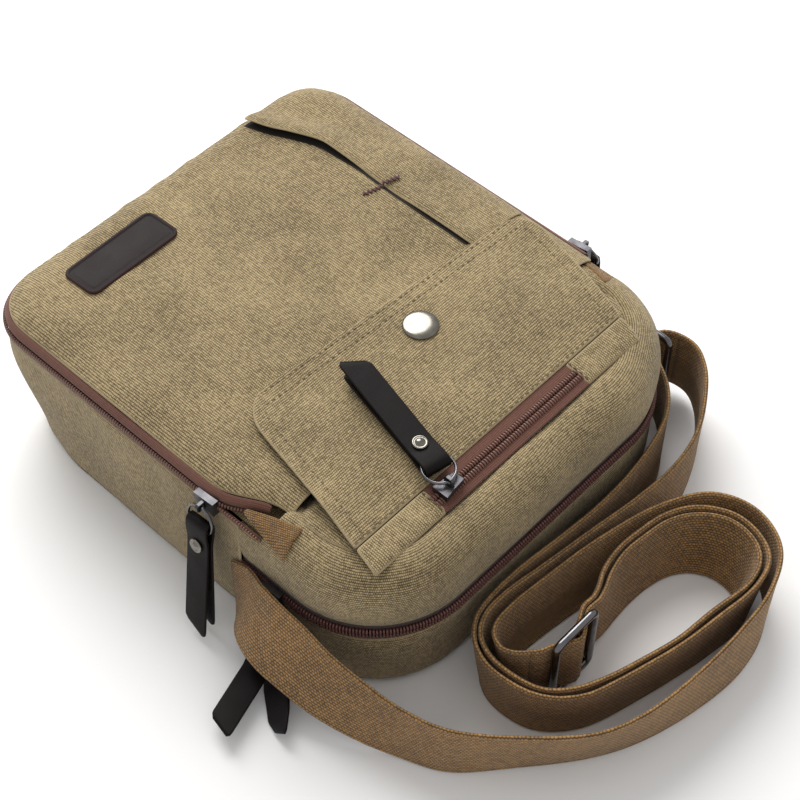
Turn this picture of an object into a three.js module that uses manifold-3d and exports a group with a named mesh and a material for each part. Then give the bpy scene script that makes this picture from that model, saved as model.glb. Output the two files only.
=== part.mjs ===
// A small canvas messenger bag lying on its back with its webbing shoulder strap coiled beside it.
// Millimetres. The front faces +Z with the bag's top towards +Y, so +X is on the right as one faces it.
// The origin is on the surface the bag lies on, under its middle.
import * as THREE from 'three';
import { mergeVertices } from 'three/addons/utils/BufferGeometryUtils.js';
import Module from 'manifold-3d';

const wasm = await Module();
wasm.setup();

// Driving dimensions
const WIDTH = 225;
const HEIGHT = 262;
const BOTTOM_RADIUS = 28;
const TOP_RADIUS = 52;
const CANVAS = 2;
const TAPE = 1.2;
const GAP = 0.3;
const HALF_WIDTH = WIDTH / 2;
const HALF_HEIGHT = HEIGHT / 2;

// Levels above the floor, from the back panel to the front face
const BACK_TOP = 3;
const MAIN_ZIP_Z = 43.5;
const MAIN_ZIP_HALF = 4;
const GUSSET_TOP = 72.5;
const SIDE_ZIP_Z = 77;
const SIDE_TAPE_TOP = 82;
const FRONT_Z = 88;
const FLAP_THICKNESS = 4;
const FLAP_DROP = 5.2;
const FLAP_BOTTOM = FRONT_Z + 0.4;

// The places where the side and top gussets meet, and where the front pocket's mouth is
const SEAM_Y = 45;
const MOUTH_Y = 64;
const SEAM_STRIP_Y = 119;
const HINGE_Y = 113.4;
const SLIT_X = -72;

const WEBBING = 38;
const WEBBING_THICKNESS = 2.2;

// Zip sliders and their leather pulls
const RIGHT_SLIDER_Y = 28;
const LEFT_SLIDER_Y = 52;
const SIDE_ZIP_END_Y = 59;
const MAIN_SLIDER_Y = 67;
const FLAP_SLIDER_X = 42;
const FLAP_ZIP_Y = 106.3;
const SLIDER_BODY = 3.4;
const RING_RADIUS = 7.6;
const RING_WIRE = 0.75;
const PULL_WIDTH = 13.5;
const PULL_THICKNESS = 1.4;
const PULL_FOLD_X = 9.6;
const PULL_SLANT = 0.55;
const RIVET_X = 22;
const LUG_HOLE_HEIGHT = 2.8;
const LUG_SINK = 0.5;
const FRONT_WALL_TOP = 75.2;

// The way each pull hangs or lies from its slider
const PULL_HANG = {
  right: [0.2, 0.1, -0.975],
  left: [-0.3, -0.05, -0.95],
  main: [0.27, 0.12, -0.955],
  flap: [-0.2, -0.976, 0.07],
};

// The snap, in the flap's middle
const SNAP_X = -15;
const SNAP_Y = 37;
const SNAP_CAP_RADIUS = 8.6;

const root = new THREE.Group();

const COLORS = {
  canvas: 0xa8946a,
  canvasDark: 0x7d6b49,
  lining: 0x4a4238,
  tape: 0x8a5a4c,
  mainTape: 0x4a2f28,
  coil: 0x6e4538,
  leather: 0x1d1a19,
  label: 0x2a201d,
  webbing: 0x8f6f45,
  metal: 0x6f7072,
  nickel: 0xb9b8b4,
  thread: 0x54231f,
};

function material(color, roughness, metalness) {
  return new THREE.MeshStandardMaterial({ color, roughness, metalness });
}

const MATERIALS = {
  canvas: material(COLORS.canvas, 0.95, 0),
  canvasDark: material(COLORS.canvasDark, 0.95, 0),
  lining: material(COLORS.lining, 0.9, 0),
  tape: material(COLORS.tape, 0.85, 0),
  mainTape: material(COLORS.mainTape, 0.85, 0),
  coil: material(COLORS.coil, 0.55, 0),
  leather: material(COLORS.leather, 0.5, 0),
  label: material(COLORS.label, 0.6, 0),
  webbing: material(COLORS.webbing, 0.9, 0),
  metal: material(COLORS.metal, 0.3, 1),
  nickel: material(COLORS.nickel, 0.25, 1),
  thread: material(COLORS.thread, 0.8, 0),
};

function addMesh(name, geometry, look, parent = root) {
  const mesh = new THREE.Mesh(geometry, MATERIALS[look]);
  mesh.name = name;
  parent.add(mesh);
  return mesh;
}

// Solids from vertex lists -------------------------------------------------

function geometryFrom(vertices, faces) {
  const geometry = new THREE.BufferGeometry();
  geometry.setAttribute('position', new THREE.Float32BufferAttribute(vertices.flat(), 3));
  geometry.setIndex(faces.flat());
  return geometry;
}

// A solid between rings of equal, even length: each ring is one closed section, and the two ends are
// capped or joined to each other. A cap is a ladder of faces between the ring's first and last halves.
function sectionSolid(rings, closed = false) {
  const size = rings[0].length;
  const vertices = rings.flat();
  const faces = [];
  const steps = closed ? rings.length : rings.length - 1;
  for (let step = 0; step < steps; step += 1) {
    const a = step * size;
    const b = ((step + 1) % rings.length) * size;
    for (let k = 0; k < size; k += 1) {
      const next = (k + 1) % size;
      faces.push([a + k, a + next, b + next], [a + k, b + next, b + k]);
    }
  }
  if (!closed) {
    const last = (rings.length - 1) * size;
    for (let k = 0; k < size / 2 - 1; k += 1) {
      const facing = size - 1 - k;
      faces.push([k + 1, k, facing], [k + 1, facing, facing - 1]);
      faces.push([last + k, last + k + 1, last + facing], [last + facing, last + k + 1, last + facing - 1]);
    }
  }
  return orientOutward(geometryFrom(vertices, faces));
}

function signedVolume(geometry) {
  const position = geometry.getAttribute('position');
  const index = geometry.getIndex();
  const [a, b, c] = [new THREE.Vector3(), new THREE.Vector3(), new THREE.Vector3()];
  let volume = 0;
  for (let i = 0; i < index.count; i += 3) {
    a.fromBufferAttribute(position, index.getX(i));
    b.fromBufferAttribute(position, index.getX(i + 1));
    c.fromBufferAttribute(position, index.getX(i + 2));
    volume += a.dot(b.cross(c)) / 6;
  }
  return volume;
}

function orientOutward(geometry) {
  if (signedVolume(geometry) < 0) {
    const index = geometry.getIndex();
    for (let i = 0; i < index.count; i += 3) {
      const swap = index.getX(i);
      index.setX(i, index.getX(i + 1));
      index.setX(i + 1, swap);
    }
  }
  return geometry;
}

// A solid between two height surfaces over rows of points; every row has the same number of points.
function slab(rows, topAt, bottomAt) {
  const columns = rows[0].length;
  const vertices = [];
  const faces = [];
  for (const heightAt of [topAt, bottomAt]) {
    rows.forEach((row, i) => row.forEach(([x, y], j) => vertices.push([x, y, heightAt(x, y, i, j)])));
  }
  const below = rows.length * columns;
  const at = (i, j) => i * columns + j;
  for (let i = 0; i < rows.length - 1; i += 1) {
    for (let j = 0; j < columns - 1; j += 1) {
      const [a, b, c, d] = [at(i, j), at(i, j + 1), at(i + 1, j + 1), at(i + 1, j)];
      faces.push([a, b, c], [a, c, d]);
      faces.push([below + a, below + c, below + b], [below + a, below + d, below + c]);
    }
  }
  const rim = [];
  for (let j = 0; j < columns; j += 1) rim.push(at(0, j));
  for (let i = 1; i < rows.length; i += 1) rim.push(at(i, columns - 1));
  for (let j = columns - 2; j >= 0; j -= 1) rim.push(at(rows.length - 1, j));
  for (let i = rows.length - 2; i > 0; i -= 1) rim.push(at(i, 0));
  rim.forEach((a, k) => {
    const b = rim[(k + 1) % rim.length];
    faces.push([a, below + a, below + b], [a, below + b, b]);
  });
  return orientOutward(geometryFrom(vertices, faces));
}

// Booleans -----------------------------------------------------------------

function toManifold(geometry) {
  const bare = geometry.clone();
  bare.deleteAttribute('normal');
  bare.deleteAttribute('uv');
  const merged = mergeVertices(bare, 1e-4);
  return new wasm.Manifold(new wasm.Mesh({
    numProp: 3,
    vertProperties: new Float32Array(merged.getAttribute('position').array),
    triVerts: new Uint32Array(merged.getIndex().array),
  }));
}

function fromManifold(solid) {
  const mesh = solid.getMesh();
  const geometry = new THREE.BufferGeometry();
  geometry.setAttribute('position', new THREE.BufferAttribute(mesh.vertProperties, 3));
  geometry.setIndex(new THREE.BufferAttribute(mesh.triVerts, 1));
  return geometry;
}

function cut(geometry, ...tools) {
  const whole = toManifold(geometry);
  return fromManifold(tools.reduce((solid, tool) => solid.subtract(toManifold(tool)), whole));
}

function join(geometry, ...others) {
  const first = toManifold(geometry);
  return fromManifold(others.reduce((solid, other) => solid.add(toManifold(other)), first));
}

function boxAt(low, high) {
  const size = high.map((value, k) => value - low[k]);
  const box = new THREE.BoxGeometry(...size);
  return box.translate(...high.map((value, k) => (value + low[k]) / 2));
}

// The bag's outline --------------------------------------------------------

// Points of a stretch of arc, with the outward normal at each: [x, y, nx, ny]
function arcPoints(cx, cy, radius, fromDegrees, toDegrees, steps) {
  return Array.from({ length: steps + 1 }, (_, k) => {
    const angle = THREE.MathUtils.degToRad(fromDegrees + ((toDegrees - fromDegrees) * k) / steps);
    return [cx + radius * Math.cos(angle), cy + radius * Math.sin(angle), Math.cos(angle), Math.sin(angle)];
  });
}

// From the right side's seam, over the bag's top, to the left side's seam
function topPath(startY, moreY = []) {
  const cx = HALF_WIDTH - TOP_RADIUS;
  const cy = HALF_HEIGHT - TOP_RADIUS;
  return [
    [HALF_WIDTH, startY, 1, 0],
    ...moreY.map((y) => [HALF_WIDTH, y, 1, 0]),
    ...arcPoints(cx, cy, TOP_RADIUS, 0, 90, 8),
    [0, HALF_HEIGHT, 0, 1],
    ...arcPoints(-cx, cy, TOP_RADIUS, 90, 180, 8),
    ...moreY.toReversed().map((y) => [-HALF_WIDTH, y, -1, 0]),
    [-HALF_WIDTH, startY, -1, 0],
  ];
}

// From the left side, under the bag's bottom, to the right side
function bottomPath(startY, endY = startY) {
  const cx = HALF_WIDTH - BOTTOM_RADIUS;
  const cy = -HALF_HEIGHT + BOTTOM_RADIUS;
  return [
    [-HALF_WIDTH, startY, -1, 0],
    [-HALF_WIDTH, (startY + cy) / 2, -1, 0],
    ...arcPoints(-cx, cy, BOTTOM_RADIUS, 180, 270, 6),
    [0, -HALF_HEIGHT, 0, -1],
    ...arcPoints(cx, cy, BOTTOM_RADIUS, 270, 360, 6),
    [HALF_WIDTH, (endY + cy) / 2, 1, 0],
    [HALF_WIDTH, endY, 1, 0],
  ];
}

// A thin wall that stands along a path: its outer face follows [offset, z] pairs from low to high,
// and a ceiling can hold it lower along part of the path.
function wall(path, profile, thickness, ceilingAt = () => Infinity) {
  const rings = path.map(([x, y, nx, ny]) => {
    const ceiling = ceilingAt(x, y);
    const held = profile.map(([offset, z], k) => {
      const step = k * 0.02;
      return z > ceiling ? [-step, ceiling + step] : [offset, z];
    });
    const at = (offset, z) => [x + nx * offset, y + ny * offset, z];
    const outer = held.map(([offset, z]) => at(offset, z));
    const inner = held.map(([offset, z]) => at(offset - thickness, z));
    return [...outer, ...inner.reverse()];
  });
  return sectionSolid(rings);
}

// The bag's outline from its top right, down the right side and up the left to the top left
function wholeOutline() {
  const cx = HALF_WIDTH - TOP_RADIUS;
  const cy = HALF_HEIGHT - TOP_RADIUS;
  const sideYs = [cy / 2, 0, -HALF_HEIGHT / 2];
  const right = [
    ...arcPoints(cx, cy, TOP_RADIUS, 90, 0, 8),
    ...sideYs.map((y) => [HALF_WIDTH, y, 1, 0]),
    ...arcPoints(HALF_WIDTH - BOTTOM_RADIUS, -HALF_HEIGHT + BOTTOM_RADIUS, BOTTOM_RADIUS, 0, -90, 6),
  ];
  const left = right.map(([x, y, nx, ny]) => [-x, y, -nx, ny]).reverse();
  return [...right, ...left];
}

// A flat sheet with the bag's outline: [inset, z] pairs from its lower face to its upper face
function outlineSheet(profile) {
  const outline = wholeOutline();
  return sectionSolid(profile.map(([inset, z]) => (
    outline.map(([x, y, nx, ny]) => [x - nx * inset, y - ny * inset, z])
  )));
}

const smooth = (t) => THREE.MathUtils.smoothstep(t, 0, 1);

// The bag's body -----------------------------------------------------------

function buildBody() {
  addMesh('back_panel', outlineSheet([[3.2, 0], [0.6, 1.2], [0, BACK_TOP]]), 'canvasDark');
  const sideProfile = [[0, BACK_TOP + GAP], [1.2, 16], [1.2, 40], [0.6, 60], [0, GUSSET_TOP]];
  addMesh('side_gusset', wall(bottomPath(SEAM_Y - GAP), sideProfile, CANVAS), 'canvas');
  const rearProfile = [[0, BACK_TOP + GAP], [1, 14], [1, 30], [0, MAIN_ZIP_Z - MAIN_ZIP_HALF]];
  addMesh('rear_top_gusset', wall(topPath(SEAM_Y), rearProfile, CANVAS), 'canvas');
  const frontProfile = [[0, MAIN_ZIP_Z + MAIN_ZIP_HALF], [1, 54], [0.6, 66], [-1, 74], [-4, 79], [-10, 82]];
  const ceilingAt = (x, y) => (y < SIDE_ZIP_END_Y + 1 ? GUSSET_TOP - 1 : Infinity);
  const frontPath = topPath(SEAM_Y, [SIDE_ZIP_END_Y + 0.5, SIDE_ZIP_END_Y + 2]);
  addMesh('front_top_gusset', wall(frontPath, frontProfile, CANVAS, ceilingAt), 'canvas');
  addMesh('front_wall', outlineSheet([[6.2, 73.2], [6.2, FRONT_WALL_TOP]]), 'canvasDark');
  addMesh('back_lining', outlineSheet([[4.6, BACK_TOP + GAP], [4.6, BACK_TOP + 1.1]]), 'lining');
  addMesh('front_lining', outlineSheet([[6.2, 72], [6.2, 72.8]]), 'lining');
  addMesh('inner_pocket', boxAt([-78, -92, 5], [78, 40, 6.2]), 'lining');
}

// Zips ---------------------------------------------------------------------

function buildMainZip() {
  const path = topPath(SEAM_Y + 2);
  const low = MAIN_ZIP_Z - MAIN_ZIP_HALF + GAP;
  const high = MAIN_ZIP_Z + MAIN_ZIP_HALF - GAP;
  addMesh('main_zip_rear_tape', wall(path, [[-0.8, low], [-1, MAIN_ZIP_Z - 2.4]], TAPE), 'mainTape');
  addMesh('main_zip_front_tape', wall(path, [[-1, MAIN_ZIP_Z + 2.4], [-0.8, high]], TAPE), 'mainTape');
  addMesh('main_zip_rear_coil', wall(path, [[0, MAIN_ZIP_Z - 2.1], [0, MAIN_ZIP_Z - 0.15]], 2), 'coil');
  addMesh('main_zip_front_coil', wall(path, [[0, MAIN_ZIP_Z + 0.15], [0, MAIN_ZIP_Z + 2.1]], 2), 'coil');
}

// The front panel's edge: it hangs slack past the right slider, where the zip is open.
function panelPath() {
  const slack = [[35, 1.2], [43, 5], [50, 9], [SIDE_ZIP_END_Y - 3, 12]];
  return [
    ...bottomPath(SIDE_ZIP_END_Y, RIGHT_SLIDER_Y - 2),
    ...slack.map(([y, inward]) => [HALF_WIDTH - inward, y, 0.95, 0.3]),
  ];
}

function buildSideZip() {
  const gussetPath = bottomPath(SIDE_ZIP_END_Y);
  const middle = SIDE_ZIP_Z;
  const gussetTape = [[-0.4, GUSSET_TOP + GAP], [-0.8, middle - 1.6]];
  addMesh('side_zip_gusset_tape', wall(gussetPath, gussetTape, TAPE), 'tape');
  addMesh('side_zip_gusset_coil', wall(gussetPath, [[0, middle - 1.3], [0, middle - 0.15]], 2), 'coil');
  addMesh('side_zip_panel_coil', wall(panelPath(), [[0, middle + 0.15], [0, middle + 1.3]], 2), 'coil');
  const panelTape = [[-0.8, middle + 1.6], [-1.6, SIDE_TAPE_TOP - 1.2], [-2.4, SIDE_TAPE_TOP]];
  addMesh('side_zip_panel_tape', wall(panelPath(), panelTape, TAPE), 'tape');
}

// A slider with the zip along its X and its face along +Z; its lug's hole is along X too.
function sliderGeometry() {
  const plan = new THREE.Shape([
    new THREE.Vector2(-6.5, -2.8), new THREE.Vector2(1, -3.6), new THREE.Vector2(6, -4.4),
    new THREE.Vector2(6, 4.4), new THREE.Vector2(1, 3.6), new THREE.Vector2(-6.5, 2.8),
  ]);
  const body = new THREE.ExtrudeGeometry(plan, { depth: SLIDER_BODY, bevelEnabled: false });
  const lugShape = new THREE.Shape([
    new THREE.Vector2(-2.4, 0), new THREE.Vector2(2.4, 0), new THREE.Vector2(2.4, 4),
    new THREE.Vector2(1.3, 5.2), new THREE.Vector2(-1.3, 5.2), new THREE.Vector2(-2.4, 4),
  ]);
  lugShape.holes.push(new THREE.Path().absellipse(0, LUG_HOLE_HEIGHT, 1.6, 1.6, 0, Math.PI * 2));
  const lug = new THREE.ExtrudeGeometry(lugShape, { depth: 1.6, bevelEnabled: false, curveSegments: 5 });
  lug.rotateX(Math.PI / 2).rotateZ(Math.PI / 2).translate(-0.8, 0, SLIDER_BODY - LUG_SINK);
  return join(body, lug);
}

// Leather pull: one strip folded through the wire ring, with two slanted ends. The hinge is at the
// origin, the strip runs along +X, its width is along Y. The leaf's line may bend: bendAt gives the
// line's [x, z] and slope angle at a distance along it.
const straight = (s) => [s, 0, 0];

function pullStations(lengths, splay, bendAt) {
  const [upper, lower] = lengths;
  const side = (length, sign, spread) => [
    [20, 1.3 * sign], [26, 1.3 * sign], [40, (1.5 + spread * 0.25) * sign], [length, (1.7 + spread) * sign],
  ];
  const foldAngles = [90, 126, 162, 198, 234, 270];
  const fold = foldAngles.map((degrees) => {
    const angle = THREE.MathUtils.degToRad(degrees);
    return [PULL_FOLD_X + 2.2 * Math.cos(angle), 2.2 * Math.sin(angle)];
  });
  const line = [
    ...side(upper, 1, splay[0]).reverse(), [15, 2.1], ...fold, [15, -2.1], ...side(lower, -1, splay[1]),
  ];
  return line.map(([s, height], k) => {
    const [x, z, slope] = bendAt(s);
    const [up, along] = [Math.cos(slope), Math.sin(slope)];
    const before = line[Math.max(k - 1, 0)];
    const after = line[Math.min(k + 1, line.length - 1)];
    const turn = Math.atan2(after[1] - before[1], after[0] - before[0]) + slope;
    const slant = k === 0 || k === line.length - 1 ? PULL_SLANT : 0;
    return {
      center: [x - height * along, 0, z + height * up],
      across: [slant * Math.cos(turn), 1, slant * Math.sin(turn)],
      normal: [-Math.sin(turn), 0, Math.cos(turn)],
      width: PULL_WIDTH,
      thickness: PULL_THICKNESS,
    };
  });
}

// A flat band through stations that give its centre, the direction across it and its normal
function band(stations) {
  const corners = [[1, 1], [-1, 1], [-1, -1], [1, -1]];
  return sectionSolid(stations.map(({ center, across, normal, width, thickness }) => (
    corners.map(([a, n]) => center.map((value, k) => (
      value + (a * across[k] * width + n * normal[k] * thickness) / 2
    )))
  )));
}

// The rivet goes through both leaves, with a head on each side
function rivetGeometry() {
  const profile = [[0, -3.2], [2.8, -3.1], [3.2, -2.8], [3.2, -2.4], [1.1, -2.4], [1.1, 2.4], [3.6, 2.4],
    [3.6, 3], [2.6, 3.9], [0, 4.3]];
  const rivet = new THREE.LatheGeometry(profile.map(([r, z]) => new THREE.Vector2(r, z)), 16);
  return rivet.rotateX(Math.PI / 2);
}

function buildPull(prefix, group, { lengths = [74, 70], splay = [1.6, 0.6], bendAt = straight } = {}) {
  const ring = new THREE.TorusGeometry(RING_RADIUS, RING_WIRE, 6, 28).translate(RING_RADIUS, 0, 0);
  addMesh(`${prefix}_ring`, ring, 'metal', group);
  const hole = new THREE.CylinderGeometry(1.4, 1.4, 12, 12).rotateX(Math.PI / 2).translate(RIVET_X, 0, 0);
  addMesh(`${prefix}_pull`, cut(band(pullStations(lengths, splay, bendAt)), hole), 'leather', group);
  addMesh(`${prefix}_rivet`, rivetGeometry().translate(RIVET_X, 0, 0), 'nickel', group);
}

// A group whose X, Y and Z follow the given directions
function framedGroup(position, xAxis, yHint) {
  const x = new THREE.Vector3(...xAxis).normalize();
  const z = x.clone().cross(new THREE.Vector3(...yHint)).normalize();
  const y = z.clone().cross(x);
  const group = new THREE.Group();
  group.setRotationFromMatrix(new THREE.Matrix4().makeBasis(x, y, z));
  group.position.set(...position);
  root.add(group);
  return group;
}

function buildZipPulls() {
  const face = HALF_WIDTH + GAP;
  const lugHeight = SLIDER_BODY - LUG_SINK + LUG_HOLE_HEIGHT;
  for (const [side, sign, y] of [['right', 1, RIGHT_SLIDER_Y], ['left', -1, LEFT_SLIDER_Y]]) {
    const slider = framedGroup([sign * face, y, SIDE_ZIP_Z], [0, 1, 0], [0, 0, sign]);
    addMesh(`side_zip_slider_${side}`, sliderGeometry(), 'metal', slider);
    const pull = framedGroup([sign * (face + lugHeight), y, SIDE_ZIP_Z], PULL_HANG[side], [0, sign, 0]);
    buildPull(`side_zip_${side}`, pull);
  }
  const mainSlider = framedGroup([face, MAIN_SLIDER_Y, MAIN_ZIP_Z], [0, 1, 0], [0, 0, 1]);
  addMesh('main_zip_slider', sliderGeometry(), 'metal', mainSlider);
  const mainLug = [face + lugHeight, MAIN_SLIDER_Y, MAIN_ZIP_Z];
  const mainPull = framedGroup(mainLug, PULL_HANG.main, [-0.28, 0.96, 0]);
  buildPull('main_zip', mainPull, { lengths: [76, 72], splay: [1, 0.4], bendAt: floorBend });
  const flapBase = flapBottomAt(FLAP_SLIDER_X, FLAP_ZIP_Y) + FLAP_THICKNESS;
  const flapSlider = framedGroup([FLAP_SLIDER_X, FLAP_ZIP_Y, flapBase], [1, 0, 0], [0, 1, 0]);
  addMesh('flap_zip_slider', sliderGeometry(), 'metal', flapSlider);
  const flapLug = [FLAP_SLIDER_X, FLAP_ZIP_Y, flapBase + lugHeight];
  const flapPull = framedGroup(flapLug, PULL_HANG.flap, [0.98, -0.2, 0]);
  buildPull('flap_zip', flapPull, { splay: [1.6, 0] });
}

// The main zip's pull hangs down inside the strap, then turns out along the floor.
function floorBend(s) {
  const [hang, radius, turn] = [32.5, 9, 1.29];
  if (s < hang) return [s, 0, 0];
  const angle = Math.min((s - hang) / radius, turn);
  const rest = s - hang - angle * radius;
  const x = hang + radius * Math.sin(angle) + rest * Math.cos(angle);
  const z = radius * (1 - Math.cos(angle)) + rest * Math.sin(angle);
  return [x, z, angle];
}

// The front pocket ---------------------------------------------------------

const PANEL_INSET = 4;
const PANEL_RISE = 16;

function panelRight(y) {
  return HALF_WIDTH - PANEL_INSET - 13 * smooth((y - 26) / 34);
}

// How far a point lies inside the front panel's rounded outline
function panelDepth(x, y) {
  const radius = BOTTOM_RADIUS - PANEL_INSET;
  const centerX = (x > 0 ? panelRight(y) : HALF_WIDTH - PANEL_INSET) - radius;
  const beyondX = Math.max(Math.abs(x) - centerX, 0);
  const beyondY = Math.max(-HALF_HEIGHT + BOTTOM_RADIUS - y, 0);
  return radius - Math.hypot(beyondX, beyondY);
}

function panelTopAt(x, y) {
  const t = THREE.MathUtils.clamp(panelDepth(x, y) / PANEL_RISE, 0, 1);
  return SIDE_TAPE_TOP + (FRONT_Z - SIDE_TAPE_TOP) * (1 - (1 - t) ** 2);
}

const EDGE_STEPS = [0, 2, 5, 9, 14, 20, 29];

function panelRows() {
  const radius = BOTTOM_RADIUS - PANEL_INSET;
  const low = -HALF_HEIGHT + PANEL_INSET;
  const levels = [0.4, 2, 5, 9, 14, 20, 30, 90, 130, 160, 172, 181, MOUTH_Y - low];
  return levels.map((level) => {
    const y = low + level;
    const drop = Math.max(radius - level, 0);
    const drawnIn = radius - Math.sqrt(radius ** 2 - drop ** 2);
    const left = -(HALF_WIDTH - PANEL_INSET) + drawnIn;
    const right = panelRight(y) - drawnIn;
    const scale = Math.min(1, (right - left) / 2 / 40);
    const fromLeft = EDGE_STEPS.map((step) => [left + step * scale, y]);
    const fromRight = EDGE_STEPS.map((step) => [right - step * scale, y]).reverse();
    return [...fromLeft, [(left + right) / 2, y], ...fromRight];
  });
}

// Rows of points over a rounded rectangle, turned about its centre
function roundedRows(cx, cy, width, height, radius, degrees, rowCount, columnCount) {
  const angle = THREE.MathUtils.degToRad(degrees);
  const [cos, sin] = [Math.cos(angle), Math.sin(angle)];
  return Array.from({ length: rowCount }, (_, i) => {
    const v = (-0.5 + i / (rowCount - 1)) * height * 0.999;
    const drop = Math.max(Math.abs(v) - (height / 2 - radius), 0);
    const half = width / 2 - radius + Math.sqrt(Math.max(radius ** 2 - drop ** 2, 0));
    return Array.from({ length: columnCount }, (_unused, j) => {
      const u = (-1 + (2 * j) / (columnCount - 1)) * half;
      return [cx + u * cos - v * sin, cy + u * sin + v * cos];
    });
  });
}

function overPanel(rows, lift, thickness) {
  const top = (x, y) => panelTopAt(x, y) + lift + thickness;
  return slab(rows, top, (x, y) => top(x, y) - thickness);
}

function slashRows() {
  const levels = [-124.6, -122, -117, -112, -104, -60, -20, 19];
  return levels.map((y) => {
    const drop = Math.max(-HALF_HEIGHT + BOTTOM_RADIUS - y, 0);
    const radius = BOTTOM_RADIUS - PANEL_INSET;
    const left = -(HALF_WIDTH - PANEL_INSET) + radius - Math.sqrt(radius ** 2 - drop ** 2) + 1;
    const right = SLIT_X + 12 * smooth((-100 - y) / 26);
    return [0, 0.08, 0.2, 0.4, 0.7, 1].map((u) => [left + (right - left) * u, y]);
  });
}

function buildFrontPocket() {
  const panel = slab(panelRows(), panelTopAt, (x, y) => panelTopAt(x, y) - 1.6);
  addMesh('front_panel', cut(panel, snapHole(1.9)), 'canvas');
  addMesh('slash_pocket_panel', overPanel(slashRows(), 2 * GAP, 1.4), 'canvas');
  const bartack = roundedRows(SLIT_X + 1, -41, 20, 3, 1.2, -17, 4, 6);
  const bartackTop = FRONT_Z + 3.2;
  addMesh('slash_pocket_bartack', slab(bartack, () => bartackTop, () => bartackTop - 0.9), 'thread');
  addMesh('leather_label', overPanel(roundedRows(47, -102, 58, 23, 5, 2, 9, 11), GAP, 1.6), 'label');
  addMesh('snap_stud', snapStudGeometry(), 'nickel');
  for (const [side, sign] of [['right', 1], ['left', -1]]) {
    addMesh(`webbing_tab_${side}`, band(tabStations(sign)), 'webbing');
  }
}

// Short webbing that binds the corner of the pocket's mouth to the gusset
function tabStations(sign) {
  const lift = sign > 0 ? 0 : 5.5;
  const line = [
    [97.5, 68, 85.4], [102, 67.4, 84.9], [106.5, 66.6, 83.5], [110.4, 65.6, 81], [113.2, 64.6, 77.6],
  ];
  return line.map(([x, y, z], k) => {
    const [x0, , z0] = line[Math.max(k - 1, 0)];
    const [x1, , z1] = line[Math.min(k + 1, line.length - 1)];
    const length = Math.hypot(x1 - x0, z1 - z0);
    return {
      center: [sign * x, y + lift, z],
      across: [0, 1, 0],
      normal: [(sign * (z0 - z1)) / length, 0, (x1 - x0) / length],
      width: 14,
      thickness: 1.5,
    };
  });
}

// The snap: a stud through the front panel, a socket in the flap's lining and a cap on the flap ------

function latheAt(profile, segments = 24) {
  const lathe = new THREE.LatheGeometry(profile.map(([r, z]) => new THREE.Vector2(r, z)), segments);
  return lathe.rotateX(Math.PI / 2).translate(SNAP_X, SNAP_Y, 0);
}

// A drill for the hole that part of the snap goes through
function snapHole(radius) {
  const drill = new THREE.CylinderGeometry(radius, radius, 20, 20);
  return drill.rotateX(Math.PI / 2).translate(SNAP_X, SNAP_Y, FRONT_Z);
}

function snapStudGeometry() {
  const z = FRONT_Z;
  return latheAt([[0, z - 3], [5, z - 3], [5, z - 2], [1.6, z - 2], [1.6, z + 0.8], [2.6, z + 1.2],
    [2.4, z + 2], [0, z + 2.2]]);
}

function snapSocketGeometry() {
  const z = FLAP_BOTTOM;
  return latheAt([[3, z + 0.1], [6, z + 0.1], [6, z + 1.3], [3, z + 1.3], [3, z + 0.1]]);
}

function snapCapGeometry() {
  const z = FLAP_BOTTOM + FLAP_THICKNESS + GAP;
  const dome = [1, 0.94, 0.8, 0.6, 0.36].map((r) => [SNAP_CAP_RADIUS * r, z + 0.4 + 1.5 * (1 - r ** 2)]);
  return latheAt([[0, z - 1.6], [2, z - 1.6], [2, z], [SNAP_CAP_RADIUS, z], ...dome, [0, z + 1.9]], 28);
}

// The flap -----------------------------------------------------------------

const FLAP_LEFT_EDGE = [[-106, 22], [-84, HINGE_Y]];
const FLAP_RIGHT_EDGE = [[75, 8], [96, HINGE_Y]];
const FLAP_RADIUS = 17;
const FLAP_WINDOW = { left: -46, right: 50, low: 98.6, high: 112.4 };
const FLAP_LEVELS = [0.004, 0.018, 0.045, 0.09, 0.17, 0.33, 0.55, 0.64, 0.72, 0.8, 0.88, 0.94, 1];

function flapBottomAt(x, y) {
  return FLAP_BOTTOM - FLAP_DROP * smooth((y - 67) / 43);
}

function flapRows(inset, levels = FLAP_LEVELS) {
  const between = ([low, high], v) => low.map((value, k) => value + (high[k] - value) * v);
  return levels.map((v) => {
    const left = between(FLAP_LEFT_EDGE, v);
    const right = between(FLAP_RIGHT_EDGE, v);
    left[0] += inset;
    right[0] -= inset;
    const drop = Math.max(FLAP_RADIUS - v * (HINGE_Y - 15), 0);
    const drawnIn = (FLAP_RADIUS - Math.sqrt(FLAP_RADIUS ** 2 - drop ** 2)) / (right[0] - left[0]);
    return [0, 0.03, 0.12, 0.3, 0.5, 0.7, 0.88, 0.97, 1].map((u) => {
      const along = drawnIn + u * (1 - 2 * drawnIn);
      return [left[0] + (right[0] - left[0]) * along, left[1] + (right[1] - left[1]) * along];
    });
  });
}

// A strip in the flap's zip window between two Y values, at heights above the flap's underside
function windowStrip(lowY, highY, low, high) {
  const rows = [lowY, (lowY + highY) / 2, highY].map((y) => [
    [FLAP_WINDOW.left + GAP, y],
    [FLAP_WINDOW.right - GAP, y],
  ]);
  return slab(rows, (x, y) => flapBottomAt(x, y) + high, (x, y) => flapBottomAt(x, y) + low);
}

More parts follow.
